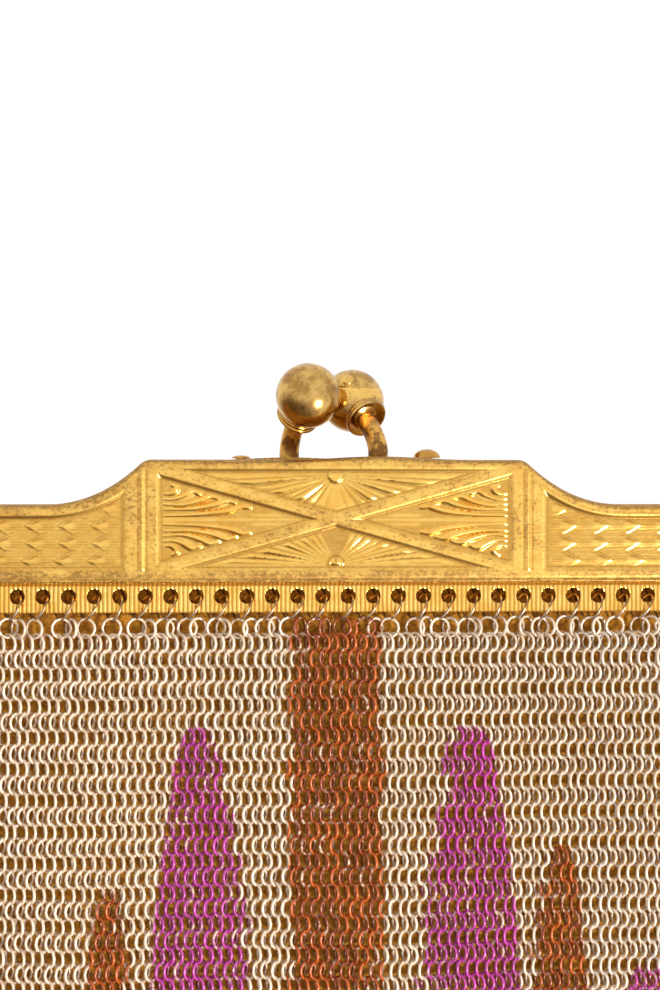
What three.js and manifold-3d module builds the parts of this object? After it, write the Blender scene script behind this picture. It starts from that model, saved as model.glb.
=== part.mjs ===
// A gilt metal mesh purse, closed and hanging: two stamped brass frame halves with a kiss lock
// of two crossed ball knobs, a pierced rail under each half, and a hollow bag of fine ring mesh
// over a cloth lining. Millimetres, +Z up, the front faces -Y. The origin is the middle of the
// closed frame's top. Most pieces are made once, for the front, and used again for the back
// with half a turn about the vertical.

import * as THREE from "three";
import { ConvexGeometry } from "three/addons/geometries/ConvexGeometry.js";
import { mergeVertices } from "three/addons/utils/BufferGeometryUtils.js";
import Module from "manifold-3d";

const wasm = await Module();
wasm.setup();

// Clearance between pieces that seat on or pass through each other
const GAP = 0.3;

// Stamped frame half: a channel open below and towards the other half
const FRAME_WIDTH = 120;
const FRAME_DEPTH = 6.2;
const FRAME_HEIGHT = 14.8;
const FRAME_WALL = 0.9;
const FRAME_EDGE_ROUND = 1.0;
const BLOCK_WIDTH = 45.8;
const SHOULDER_DROP = 5.4;
const SHOULDER_RUN = 12.3;
const SHOULDER_POWER = 2.25;
const SHOULDER_EASE = 0.7;
const END_RADIUS = 6;

// The flange rises a little where the knob's stem stands
const HUMP_HEIGHT = 0.4;
const HUMP_REACH = 11;

// Stamped panels on the face: how deep the ground lies, and how high the relief stands on it
const RECESS = 0.42;
const RELIEF = 0.3;
const RELIEF_ROOT = 0.2;
const PANEL_WIDTH = 42.4;
const PANEL_TOP_MARGIN = 1.25;
const PANEL_BOTTOM_MARGIN = 1.6;
const BAND_WIDTH = 1.3;
const ARM_PANEL_INNER_MARGIN = 2.5;
const ARM_PANEL_END_MARGIN = 4.5;
const ARM_PANEL_TOP_MARGIN = 1.55;

// The upright bead between the middle block and each arm
const BEAD_WIDTH = 0.5;
const BEAD_PROUD = 0.15;
const BEAD_OFFSET = 0.3;

// Half suns in the upper and lower fields
const SUN_RADIUS = 0.84;
const SUN_OFFSET = 0.62;
const RAY_COUNT = 9;
const RAY_RISE = 0.47;
const RAY_ROOT_WIDTH = 0.3;
const RAY_TIP_WIDTH = 1.9;

// Leaf spray in each side field: a midrib with pairs of lobes that grow towards its root
const LEAF_TIP_MARGIN = 1.2;
const MIDRIB_TIP_WIDTH = 0.3;
const MIDRIB_ROOT_WIDTH = 0.95;
const LOBE_PAIRS = 4;
const LOBE_ROOT_WIDTH = 0.57;
const LOBE_TIP_WIDTH = 0.95;
const LOBE_SHORTEST = 1.0;
const LOBE_GROWTH = 3.6;
const LOBE_ANGLE = 0.8;

// Laurel leaves in three rows along each arm
const LAUREL_PITCH = 3.9;
const LAUREL_LENGTH = 3.6;
const LAUREL_WIDTH = 2.5;
const LAUREL_ROW_SPACING = 2.1;
const LAUREL_STAGGER = 1.4;

// A laurel leaf's outline as shares: back of its length from the tip, across of its width
const LAUREL_OUTLINE = [
  { back: 0, across: 0 },
  { back: 0.4, across: 0.5 },
  { back: 1, across: 0.25 },
  { back: 1, across: -0.25 },
  { back: 0.4, across: -0.5 },
];

// Pierced rail under the frame, which the mesh hangs from
const RAIL_THICKNESS = 0.8;
const RAIL_SHOWN = 3.6;
const RAIL_HIDDEN = 2.6;
const RAIL_END_CLEARANCE = 0.7;
const RAIL_END_MARGIN = 2.4;
const HOLE_PITCH = 3.05;
const HOLE_RADIUS = 0.89;
const HOLE_ABOVE_RAIL_EDGE = 1.95;

// Kiss-lock knobs: ball, collar and bent stem on a foot under the flange
const BALL_RADIUS = 3.95;
const COLLAR_RADIUS = 2.4;
const COLLAR_HEIGHT = 0.9;
const COLLAR_DISTANCE = 3.65;
const STEM_RADIUS = 1.2;
const STEM_X = 5.4;
const STEM_DEPTH = 1.95;
const FOOT_THICKNESS = 0.8;
const FOOT_WIDTH = 2.4;

// Rivet that holds the foot
const RIVET_X = 11.4;
const RIVET_SHANK_RADIUS = 0.7;
const RIVET_TAIL_RADIUS = 1.2;
const RIVET_TAIL_HEIGHT = 0.5;

// What differs between the two knobs and their rivets. Across is from the middle towards the
// stem's side, knee is the height where the stem bends, dome sizes are of the rivet's head.
const FRONT_KNOB = { ballAcross: 2.55, ballZ: 7.6, knee: 3.4, domeRadius: 1.65, domeHeight: 1.1 };
const BACK_KNOB = { ballAcross: 3.2, ballZ: 7.85, knee: 3.6, domeRadius: 1.2, domeHeight: 0.4 };

// Hinge at each end: one ear of each half, side by side on a pin
const HINGE_DROP = 4.2;
const EAR_RADIUS = 2.6;
const EAR_REACH = 5;
const EAR_OVERLAP = 5;
const PIN_RADIUS = 0.8;
const PIN_HEAD_RADIUS = 1.5;
const PIN_HEAD_HEIGHT = 0.5;

// Soft bag of ring mesh and the lining inside it
const BAG_LENGTH = 128;
const BAG_BEYOND_RAIL = 1.6;
const BELLY_HALF_DEPTH = 7.2;
const MESH_DROP = 0.6;
const MESH_PROUD = 0.2;
const MESH_WALL = 1.2;
const LINING_GAP = 0.5;
const LINING_WALL = 1.0;
const LINING_RISE = 3.4;
const FOLD_DEPTH = 0.7;
const FOLD_COUNT = 3;
const MESH_SIDE_POINTS = 18;
const LINING_SIDE_POINTS = 12;

// How much of a section's points gather towards its two ends, where it bends most
const END_GATHER = 0.65;

// Bag sections as shares: drop of the bag's length, width of its half width, mouth and belly
// of those two half depths, and fold of the fold depth. Square is how blunt the ends are.
const BAG_SECTIONS = [
  { drop: 0.0, width: 0.965, mouth: 1.0, belly: 0.0, fold: 0.0, square: 4.6 },
  { drop: 0.1, width: 0.985, mouth: 0.6, belly: 0.4, fold: 0.35, square: 3.8 },
  { drop: 0.3, width: 1.0, mouth: 0.15, belly: 0.85, fold: 0.9, square: 3.0 },
  { drop: 0.55, width: 1.0, mouth: 0.0, belly: 1.0, fold: 1.0, square: 2.8 },
  { drop: 0.78, width: 1.0, mouth: 0.0, belly: 0.88, fold: 0.8, square: 2.8 },
  { drop: 0.9, width: 0.99, mouth: 0.0, belly: 0.7, fold: 0.5, square: 2.8 },
  { drop: 0.965, width: 0.955, mouth: 0.0, belly: 0.52, fold: 0.2, square: 2.8 },
  { drop: 1.0, width: 0.88, mouth: 0.0, belly: 0.36, fold: 0.0, square: 2.8 },
];

// Places worked out from the sizes above
const halfWidth = FRAME_WIDTH / 2;
const halfBlock = BLOCK_WIDTH / 2;
const innerEarFace = halfWidth - 2 * FRAME_WALL - GAP;
const innerHeadFace = innerEarFace - GAP - PIN_HEAD_HEIGHT;
const railHalfLength = innerHeadFace - RAIL_END_CLEARANCE;
const railBottom = -FRAME_HEIGHT - RAIL_SHOWN;
const railTop = -FRAME_HEIGHT + RAIL_HIDDEN;
const railFront = FRAME_DEPTH - FRAME_WALL - GAP;
const holeCount = Math.floor((2 * (railHalfLength - RAIL_END_MARGIN)) / HOLE_PITCH) + 1;
const holeZ = railBottom + HOLE_ABOVE_RAIL_EDGE;
const bagTop = railBottom - MESH_DROP;
const bagHalfWidth = railHalfLength + BAG_BEYOND_RAIL;
const mouthHalfDepth = railFront + MESH_PROUD;
const liningInset = Math.max(MESH_WALL, MESH_PROUD + RAIL_THICKNESS) + LINING_GAP;
const hingeZ = -FRAME_HEIGHT - HINGE_DROP;
const footTop = -FRAME_WALL - GAP;
const panelTop = -PANEL_TOP_MARGIN;
const panelBottom = -FRAME_HEIGHT + PANEL_BOTTOM_MARGIN;
const groundDepth = FRAME_DEPTH - RECESS;
const armInner = halfBlock + ARM_PANEL_INNER_MARGIN;
const armOuter = halfWidth - ARM_PANEL_END_MARGIN;

// The balls cross in depth, so that they just clear each other
const ballDepth =
  Math.sqrt(
    (2 * BALL_RADIUS + GAP) ** 2 -
      (FRONT_KNOB.ballAcross + BACK_KNOB.ballAcross) ** 2 -
      (FRONT_KNOB.ballZ - BACK_KNOB.ballZ) ** 2,
  ) / 2;

const gilt = new THREE.MeshStandardMaterial({ color: 0xd9a23c, roughness: 0.32, metalness: 1 });
const agedGilt = new THREE.MeshStandardMaterial({ color: 0xb98a3e, roughness: 0.4, metalness: 1 });
const ringMesh = new THREE.MeshStandardMaterial({ color: 0xe6d3b8, roughness: 0.55, metalness: 0.2 });
const liningCloth = new THREE.MeshStandardMaterial({ color: 0x6e4a1c, roughness: 0.9, metalness: 0 });

// A closed geometry as a solid that can be joined and cut
function solid(geometry) {
  const bare = geometry.index ? geometry.toNonIndexed() : geometry.clone();
  bare.deleteAttribute("normal");
  bare.deleteAttribute("uv");
  const merged = mergeVertices(bare, 1e-4);
  return new wasm.Manifold(
    new wasm.Mesh({
      numProp: 3,
      vertProperties: new Float32Array(merged.attributes.position.array),
      triVerts: new Uint32Array(merged.index.array),
    }),
  );
}

function geometryOf(body) {
  const mesh = body.getMesh();
  const positions = new Float32Array(mesh.numVert * 3);
  for (let i = 0; i < mesh.numVert; i += 1) {
    positions.set(mesh.vertProperties.subarray(i * mesh.numProp, i * mesh.numProp + 3), i * 3);
  }
  const geometry = new THREE.BufferGeometry();
  geometry.setAttribute("position", new THREE.BufferAttribute(positions, 3));
  geometry.setIndex(new THREE.BufferAttribute(new Uint32Array(mesh.triVerts), 1));
  geometry.computeVertexNormals();
  return geometry;
}

function join(bodies) {
  return bodies.reduce((all, body) => all.add(body));
}

function block(low, high) {
  const size = high.map((value, axis) => value - low[axis]);
  const middle = high.map((value, axis) => (value + low[axis]) / 2);
  return solid(new THREE.BoxGeometry(...size).translate(...middle));
}

// An outline drawn in x and z, between two depths in front of the middle plane
function plate(outline, depthLow, depthHigh) {
  const shape = new THREE.Shape(outline.map(([x, z]) => new THREE.Vector2(x, z)));
  const geometry = new THREE.ExtrudeGeometry(shape, {
    depth: depthHigh - depthLow,
    bevelEnabled: false,
  });
  geometry.rotateX(Math.PI / 2);
  geometry.translate(0, -depthLow, 0);
  return solid(geometry);
}

// An outline drawn in y and z, between two places along x
function sidePlate(outline, xLow, xHigh) {
  const shape = new THREE.Shape(outline.map(([y, z]) => new THREE.Vector2(y, z)));
  const geometry = new THREE.ExtrudeGeometry(shape, { depth: xHigh - xLow, bevelEnabled: false });
  geometry.rotateX(Math.PI / 2);
  geometry.rotateZ(Math.PI / 2);
  geometry.translate(xLow, 0, 0);
  return solid(geometry);
}

// An upright round bar from one height to another
function post(x, depth, radius, zLow, zHigh, sides) {
  const geometry = new THREE.CylinderGeometry(radius, radius, zHigh - zLow, sides);
  geometry.rotateX(Math.PI / 2);
  geometry.translate(x, -depth, (zLow + zHigh) / 2);
  return solid(geometry);
}

// Height of the frame's top edge at x: the flat block with its hump, the shoulders and the ends
function frameTop(x) {
  const out = Math.abs(x);
  const near = Math.min(1, Math.abs(x - STEM_X) / HUMP_REACH);
  const hump = (HUMP_HEIGHT * (1 + Math.cos(Math.PI * near))) / 2;
  const beyond = out - halfBlock;
  const eased = Math.max(0, beyond + SHOULDER_EASE) ** 2 / (4 * SHOULDER_EASE);
  const share = Math.min(1, (beyond > SHOULDER_EASE ? beyond : eased) / SHOULDER_RUN);
  const arm = -SHOULDER_DROP * (1 - Math.pow(1 - share, SHOULDER_POWER));
  const past = Math.max(0, out - (halfWidth - END_RADIUS));
  return hump + arm - (END_RADIUS - Math.sqrt(Math.max(0, END_RADIUS ** 2 - past ** 2)));
}

// The places along x where the top edge turns: hump, shoulder and rounded end
function frameStations() {
  const hump = [-1, -0.5, 0, 0.5, 1].map((share) => STEM_X + share * HUMP_REACH);
  const ease = [-1, 0, 1].map((share) => halfBlock + share * SHOULDER_EASE);
  const shoulder = [0.2, 0.35, 0.55, 0.78, 1].map((share) => halfBlock + share * SHOULDER_RUN);
  const end = [0, 24, 46, 68, 84].map((degrees) => {
    return halfWidth - END_RADIUS * (1 - Math.sin(THREE.MathUtils.degToRad(degrees)));
  });
  const right = [...ease, ...shoulder, ...end];
  return [...right.map((x) => -x).reverse(), ...hump, ...right];
}

function frameOutline(inset, bottom) {
  const limit = halfWidth - inset;
  const points = frameStations().map((x) => {
    return [Math.max(-limit, Math.min(limit, x)), frameTop(x) - inset];
  });
  const turns = points.filter(([x], i) => i === 0 || x > points[i - 1][0]);
  return [[-limit, bottom], ...turns, [limit, bottom]];
}

// The channel: a rounded outer form with the inside cut away
function frameShell() {
  const outline = frameOutline(0, -FRAME_HEIGHT).map(([x, z]) => new THREE.Vector2(x, z));
  const geometry = new THREE.ExtrudeGeometry(new THREE.Shape(outline), {
    depth: FRAME_DEPTH,
    bevelThickness: FRAME_EDGE_ROUND,
    bevelSize: FRAME_EDGE_ROUND,
    bevelOffset: -FRAME_EDGE_ROUND,
    bevelSegments: 2,
  });
  geometry.rotateX(Math.PI / 2);
  geometry.translate(0, FRAME_EDGE_ROUND, 0);
  const reach = FRAME_WIDTH;
  const frontHalf = block([-reach, -reach, -reach], [reach, -GAP / 2, reach]);
  const inside = plate(
    frameOutline(FRAME_WALL, -FRAME_HEIGHT - FRAME_WALL),
    -FRAME_WALL,
    FRAME_DEPTH - FRAME_WALL,
  );
  return solid(geometry).intersect(frontHalf).subtract(inside);
}

// The four fields that the crossed bands leave in the middle panel
function middleFields() {
  const half = PANEL_WIDTH / 2;
  const middle = (panelTop + panelBottom) / 2;
  const slope = (panelTop - panelBottom) / PANEL_WIDTH;
  const bandRise = (BAND_WIDTH / 2) * Math.hypot(1, slope);
  const bandRun = bandRise / slope;
  const sideRise = slope * half - bandRise;
  return {
    left: [[-half, middle - sideRise], [-bandRun, middle], [-half, middle + sideRise]],
    right: [[half, middle + sideRise], [bandRun, middle], [half, middle - sideRise]],
    upper: [[bandRun - half, panelTop], [0, middle + bandRise], [half - bandRun, panelTop]],
    lower: [[half - bandRun, panelBottom], [0, middle - bandRise], [bandRun - half, panelBottom]],
    leafTip: [bandRun + LEAF_TIP_MARGIN, middle],
    leafRoot: [half, middle],
    rayReach: half - bandRun,
  };
}

function armField(side) {
  const upper = [0, 0.1, 0.22, 0.35, 1].map((share) => {
    const x = armInner + share * (armOuter - armInner);
    return [side * x, frameTop(x) - ARM_PANEL_TOP_MARGIN];
  });
  return [[side * armInner, panelBottom], ...upper, [side * armOuter, panelBottom]];
}

// A low ridge on the panel's ground: wide at its foot, with its crest at full relief
function ridge(from, to, widthFrom, widthTo) {
  const along = new THREE.Vector2(to[0] - from[0], to[1] - from[1]).normalize();
  const points = [];
  for (const [[x, z], width] of [[from, widthFrom], [to, widthTo]]) {
    for (const side of [-1, 1]) {
      const across = (side * width) / 2;
      points.push(new THREE.Vector3(x - along.y * across, RELIEF_ROOT - groundDepth, z + along.x * across));
    }
    points.push(new THREE.Vector3(x, -groundDepth - RELIEF, z));
  }
  return solid(new ConvexGeometry(points));
}

// A pointed leaf with a raised midrib, its tip at (x, z) and its body back from it
function laurelLeaf(x, z, direction) {
  const points = LAUREL_OUTLINE.map(({ back, across }) => {
    const leafX = x - direction * back * LAUREL_LENGTH;
    return new THREE.Vector3(leafX, RELIEF_ROOT - groundDepth, z + across * LAUREL_WIDTH);
  });
  const ribStart = x - (direction * LAUREL_LENGTH) / 5;
  const ribEnd = x - direction * LAUREL_LENGTH;
  points.push(new THREE.Vector3(ribStart, -groundDepth - RELIEF, z));
  points.push(new THREE.Vector3(ribEnd, -groundDepth - RELIEF / 2, z));
  return solid(new ConvexGeometry(points));
}

// Half a sun at the middle of a field's long side: a round boss and its rays
function halfSun(fields, edge, turn) {
  const centre = [0, edge + turn * SUN_OFFSET];
  const boss = new THREE.CylinderGeometry(SUN_RADIUS, SUN_RADIUS, RELIEF + RELIEF_ROOT, 12);
  boss.translate(centre[0], -groundDepth - (RELIEF - RELIEF_ROOT) / 2, centre[1]);
  const parts = [solid(boss)];
  for (let i = 0; i < RAY_COUNT; i += 1) {
    const angle = (Math.PI * (i + 0.5)) / RAY_COUNT;
    const end = [
      centre[0] + fields.rayReach * Math.cos(angle),
      centre[1] + turn * RAY_RISE * fields.rayReach * Math.sin(angle),
    ];
    parts.push(ridge(centre, end, RAY_ROOT_WIDTH, RAY_TIP_WIDTH));
  }
  return join(parts);
}

function sideLeaf(fields, side) {
  const [tipX, z] = fields.leafTip;
  const rootX = fields.leafRoot[0];
  const parts = [ridge([side * tipX, z], [side * rootX, z], MIDRIB_TIP_WIDTH, MIDRIB_ROOT_WIDTH)];
  for (let i = 0; i < LOBE_PAIRS; i += 1) {
    const share = (i + 0.6) / LOBE_PAIRS;
    const x = tipX + share * (rootX - tipX);
    const length = LOBE_SHORTEST + LOBE_GROWTH * share;
    for (const turn of [-1, 1]) {
      const end = [
        side * (x - length * Math.cos(LOBE_ANGLE)),
        z + turn * length * Math.sin(LOBE_ANGLE),
      ];
      parts.push(ridge([side * x, z], end, LOBE_ROOT_WIDTH, LOBE_TIP_WIDTH));
    }
  }
  return join(parts);
}

// Laurel leaves along an arm, their tips pointing to the frame's end
function laurel(side) {
  const middle = panelBottom + 1.5 * LAUREL_ROW_SPACING;
  const count = Math.floor((armOuter - armInner) / LAUREL_PITCH);
  const leaves = [];
  for (let i = 1; i <= count; i += 1) {
    for (const row of [-1, 0, 1]) {
      const tip = armInner + i * LAUREL_PITCH - Math.abs(row) * LAUREL_STAGGER;
      leaves.push(laurelLeaf(side * tip, middle + row * LAUREL_ROW_SPACING, side));
    }
  }
  return join(leaves);
}

// A convex outline grown outwards on every side
function grown(outline, margin) {
  const corners = outline.map(([x, z]) => new THREE.Vector2(x, z));
  const turn = THREE.ShapeUtils.isClockWise(corners) ? -1 : 1;
  const sides = corners.map((corner, i) => {
    const along = corners[(i + 1) % corners.length].clone().sub(corner).normalize();
    return new THREE.Vector2(turn * along.y, -turn * along.x);
  });
  return corners.map((corner, i) => {
    const before = sides[(i + sides.length - 1) % sides.length];
    const reach = margin / (1 + before.dot(sides[i]));
    return corner.clone().addScaledVector(before, reach).addScaledVector(sides[i], reach).toArray();
  });
}

// The fields are sunk into the face, and their relief runs on a little under the bands
function withRelief(shell) {
  const fields = middleFields();
  const middle = [
    { outline: fields.left, filling: sideLeaf(fields, -1) },
    { outline: fields.right, filling: sideLeaf(fields, 1) },
    { outline: fields.upper, filling: halfSun(fields, panelTop, -1) },
    { outline: fields.lower, filling: halfSun(fields, panelBottom, 1) },
  ];
  const clearOfFace = FRAME_DEPTH + FRAME_WALL;
  const sunk = [...middle.map(({ outline }) => outline), armField(-1), armField(1)];
  const grounds = sunk.map((outline) => plate(outline, groundDepth, clearOfFace));
  const fillings = middle.map(({ outline, filling }) => {
    return filling.intersect(plate(grown(outline, BAND_WIDTH / 4), 0, clearOfFace));
  });
  const beads = [-1, 1].map((side) => {
    const x = side * (halfBlock + BEAD_OFFSET);
    return block(
      [x - BEAD_WIDTH / 2, -FRAME_DEPTH - BEAD_PROUD, panelBottom],
      [x + BEAD_WIDTH / 2, -FRAME_DEPTH + RELIEF_ROOT, panelTop],
    );
  });
  return join([shell.subtract(join(grounds)), ...fillings, laurel(-1), laurel(1), ...beads]);
}

// One hinge ear: a web from the frame's end down to a round eye on the middle plane
function ear(xLow, xHigh) {
  const webTop = -FRAME_HEIGHT + EAR_OVERLAP;
  const webBack = -2 * GAP;
  const outline = [
    [-EAR_REACH, webTop],
    [-EAR_REACH, hingeZ + EAR_RADIUS],
  ];
  for (const degrees of [200, 240, 280, 320, 0, 40, 80]) {
    const angle = THREE.MathUtils.degToRad(degrees);
    outline.push([EAR_RADIUS * Math.cos(angle), hingeZ + EAR_RADIUS * Math.sin(angle)]);
  }
  outline.push([webBack, -FRAME_HEIGHT - 2 * GAP], [webBack, webTop]);
  const eye = new THREE.CylinderGeometry(PIN_RADIUS + GAP, PIN_RADIUS + GAP, 3 * (xHigh - xLow), 10);
  eye.rotateZ(Math.PI / 2);
  eye.translate((xLow + xHigh) / 2, 0, hingeZ);
  return sidePlate(outline, xLow, xHigh).subtract(solid(eye));
}

// The outer ear on the right, and the inner one on the left with a spacer to the frame's end
function hingeEars() {
  const spacer = block(
    [-halfWidth + FRAME_WALL / 2, -EAR_REACH, -FRAME_HEIGHT + FRAME_WALL],
    [-innerEarFace - FRAME_WALL / 2, -2 * GAP, -FRAME_HEIGHT + EAR_OVERLAP],
  );
  return join([
    ear(halfWidth - FRAME_WALL, halfWidth),
    ear(-innerEarFace - FRAME_WALL, -innerEarFace),
    spacer,
  ]);
}

function frameHalf() {
  const through = 3 * FRAME_WALL;
  const stemHole = post(STEM_X, STEM_DEPTH, STEM_RADIUS + GAP, -through, through, 12);
  const rivetHole = post(RIVET_X, STEM_DEPTH, RIVET_SHANK_RADIUS + GAP, -through, through, 10);
  return join([withRelief(frameShell()), hingeEars()]).subtract(stemHole).subtract(rivetHole);
}

// A flat strip with a hole for each jump ring
function rail() {
  const shape = new THREE.Shape([
    new THREE.Vector2(-railHalfLength, railBottom),
    new THREE.Vector2(railHalfLength, railBottom),
    new THREE.Vector2(railHalfLength, railTop),
    new THREE.Vector2(-railHalfLength, railTop),
  ]);
  for (let i = 0; i < holeCount; i += 1) {
    const x = (i - (holeCount - 1) / 2) * HOLE_PITCH;
    shape.holes.push(new THREE.Path().absarc(x, holeZ, HOLE_RADIUS, 0, 2 * Math.PI, true));
  }
  const geometry = new THREE.ExtrudeGeometry(shape, {
    depth: RAIL_THICKNESS,
    bevelEnabled: false,
    curveSegments: 5,
  });
  geometry.rotateX(Math.PI / 2);
  geometry.translate(0, RAIL_THICKNESS - railFront, 0);
  return solid(geometry);
}

// Ball, collar, bent stem and the foot under the flange, in one
function knob({ ballAcross, ballZ, knee }) {
  const ball = new THREE.Vector3(ballAcross, ballDepth, ballZ);
  const path = new THREE.QuadraticBezierCurve3(
    new THREE.Vector3(STEM_X, -STEM_DEPTH, FRAME_WALL),
    new THREE.Vector3(STEM_X, -STEM_DEPTH, knee),
    ball,
  );
  const section = new THREE.Shape().absarc(0, 0, STEM_RADIUS, 0, 2 * Math.PI, false);
  const bend = new THREE.ExtrudeGeometry(section, { steps: 7, extrudePath: path, curveSegments: 5 });
  const axis = path.getTangent(1);
  const collar = new THREE.CylinderGeometry(COLLAR_RADIUS, COLLAR_RADIUS, COLLAR_HEIGHT, 12);
  const upright = new THREE.Vector3(0, 1, 0);
  collar.applyQuaternion(new THREE.Quaternion().setFromUnitVectors(upright, axis));
  collar.translate(...ball.clone().addScaledVector(axis, -COLLAR_DISTANCE).toArray());
  const sphere = new THREE.SphereGeometry(BALL_RADIUS, 16, 11).translate(...ball.toArray());
  const foot = block(
    [STEM_X - FOOT_WIDTH / 2, -STEM_DEPTH - FOOT_WIDTH / 2, footTop - FOOT_THICKNESS],
    [RIVET_X + FOOT_WIDTH / 2, -STEM_DEPTH + FOOT_WIDTH / 2, footTop],
  );
  const footMiddle = footTop - FOOT_THICKNESS / 2;
  const overlap = STEM_RADIUS / 10;
  const straight = post(STEM_X, STEM_DEPTH, STEM_RADIUS, footMiddle, FRAME_WALL + overlap, 10);
  const footHole = post(
    RIVET_X,
    STEM_DEPTH,
    RIVET_SHANK_RADIUS + GAP,
    footTop - 2 * FOOT_THICKNESS,
    footTop + FOOT_THICKNESS,
    10,
  );
  return join([solid(bend), straight, solid(collar), solid(sphere), foot]).subtract(footHole);
}

// A turned piece from its outline, a row of radius and place along its axis at each turn
function turned(outline) {
  const points = outline.map(({ radius, along }) => new THREE.Vector2(radius, along));
  return new THREE.LatheGeometry(points, 12);
}

function rivet({ domeRadius, domeHeight }) {
  const head = GAP;
  const tail = footTop - FOOT_THICKNESS - GAP;
  const geometry = turned([
    { radius: 0, along: tail - RIVET_TAIL_HEIGHT },
    { radius: RIVET_TAIL_RADIUS, along: tail - RIVET_TAIL_HEIGHT },
    { radius: RIVET_TAIL_RADIUS, along: tail },
    { radius: RIVET_SHANK_RADIUS, along: tail },
    { radius: RIVET_SHANK_RADIUS, along: head },
    { radius: domeRadius, along: head },
    { radius: domeRadius * Math.cos(0.5), along: head + domeHeight * Math.sin(0.5) },
    { radius: domeRadius * Math.cos(1), along: head + domeHeight * Math.sin(1) },
    { radius: 0, along: head + domeHeight },
  ]);
  geometry.rotateX(Math.PI / 2);
  geometry.translate(RIVET_X, -STEM_DEPTH, 0);
  return solid(geometry);
}

// The pin through both ears of the right end
function hingePin() {
  const outerHeadFace = halfWidth + GAP;
  const geometry = turned([
    { radius: 0, along: innerHeadFace },
    { radius: PIN_HEAD_RADIUS, along: innerHeadFace },
    { radius: PIN_HEAD_RADIUS, along: innerHeadFace + PIN_HEAD_HEIGHT },
    { radius: PIN_RADIUS, along: innerHeadFace + PIN_HEAD_HEIGHT },
    { radius: PIN_RADIUS, along: outerHeadFace },
    { radius: PIN_HEAD_RADIUS, along: outerHeadFace },
    { radius: PIN_HEAD_RADIUS * Math.cos(0.8), along: outerHeadFace + PIN_HEAD_HEIGHT },
    { radius: 0, along: outerHeadFace + PIN_HEAD_HEIGHT },
  ]);
  geometry.rotateZ(-Math.PI / 2);
  geometry.translate(0, 0, hingeZ);
  return solid(geometry);
}

// One closed loop of the bag's surface, taken in from the mesh's outside by inset
function bagLoop(section, inset, z, sidePoints) {
  const width = section.width * bagHalfWidth - inset;
  const depth = section.mouth * mouthHalfDepth + section.belly * BELLY_HALF_DEPTH - inset;
  const loop = [];
  for (const face of [-1, 1]) {
    for (let i = 0; i < sidePoints; i += 1) {
      const turn = i / sidePoints;
      const across = -END_GATHER * Math.cos(Math.PI * turn) + (1 - END_GATHER) * (2 * turn - 1);
      const x = -face * across * width;
      const swell = Math.pow(1 - Math.pow(Math.abs(across), section.square), 1 / section.square);
      const wave = Math.cos((Math.PI * FOLD_COUNT * x) / bagHalfWidth + face);
      loop.push([x, face * swell * (depth + section.fold * FOLD_DEPTH * wave), z]);
    }
  }
  return loop;
}

// A hollow bag: an outer and an inner skin, joined at the rim and each closed at its foot
function bag(inset, wall, rise, sidePoints) {
  const skin = (skinInset) => {
    const length = BAG_LENGTH - skinInset;
    const rows = BAG_SECTIONS.map((section) => [section, bagTop - section.drop * length]);
    if (rise > 0) rows.unshift([BAG_SECTIONS[0], bagTop + rise]);
    return rows.map(([section, z]) => bagLoop(section, skinInset, z, sidePoints));
  };
  const loops = [...skin(inset + wall).reverse(), ...skin(inset)];
  const count = 2 * sidePoints;
  const positions = loops.flat();
  const faces = [];
  for (let level = 0; level + 1 < loops.length; level += 1) {
    for (let i = 0; i < count; i += 1) {
      const a = level * count + i;
      const b = level * count + ((i + 1) % count);
      faces.push([a, a + count, b], [b, a + count, b + count]);
    }
  }
  const lastLoop = (loops.length - 1) * count;
  for (const first of [0, lastLoop]) {
    const centre = positions.length;
    positions.push([0, 0, positions[first][2]]);
    for (let i = 0; i < count; i += 1) {
      const a = first + i;
      const b = first + ((i + 1) % count);
      faces.push(first === 0 ? [centre, a, b] : [centre, b, a]);
    }
  }
  const geometry = new THREE.BufferGeometry();
  geometry.setAttribute("position", new THREE.Float32BufferAttribute(positions.flat(), 3));
  geometry.setIndex(faces.flat());
  return solid(geometry);
}

function piece(name, body, material) {
  const mesh = new THREE.Mesh(geometryOf(body), material);
  mesh.name = name;
  return mesh;
}

function turnedPiece(name, body, material) {
  const mesh = piece(name, body, material);
  mesh.rotation.z = Math.PI;
  return mesh;
}

const stampedHalf = frameHalf();
const piercedRail = rail();
const pin = hingePin();
const meshBag = bag(0, MESH_WALL, 0, MESH_SIDE_POINTS);
const lining = bag(liningInset, LINING_WALL, LINING_RISE, LINING_SIDE_POINTS);

const purse = new THREE.Group();
purse.add(
  piece("front_frame", stampedHalf, gilt),
  turnedPiece("back_frame", stampedHalf, gilt),
  piece("front_mesh_rail", piercedRail, gilt),
  turnedPiece("back_mesh_rail", piercedRail, gilt),
  piece("front_clasp_knob", knob(FRONT_KNOB), agedGilt),
  turnedPiece("back_clasp_knob", knob(BACK_KNOB), agedGilt),
  piece("front_knob_rivet", rivet(FRONT_KNOB), agedGilt),
  turnedPiece("back_knob_rivet", rivet(BACK_KNOB), agedGilt),
  piece("right_hinge_pin", pin, agedGilt),
  turnedPiece("left_hinge_pin", pin, agedGilt),
  piece("mesh_bag", meshBag, ringMesh),
  piece("lining", lining, liningCloth),
);

export default purse;
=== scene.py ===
import math

import bpy
import numpy as np
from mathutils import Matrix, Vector
from mathutils.geometry import tessellate_polygon


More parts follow.
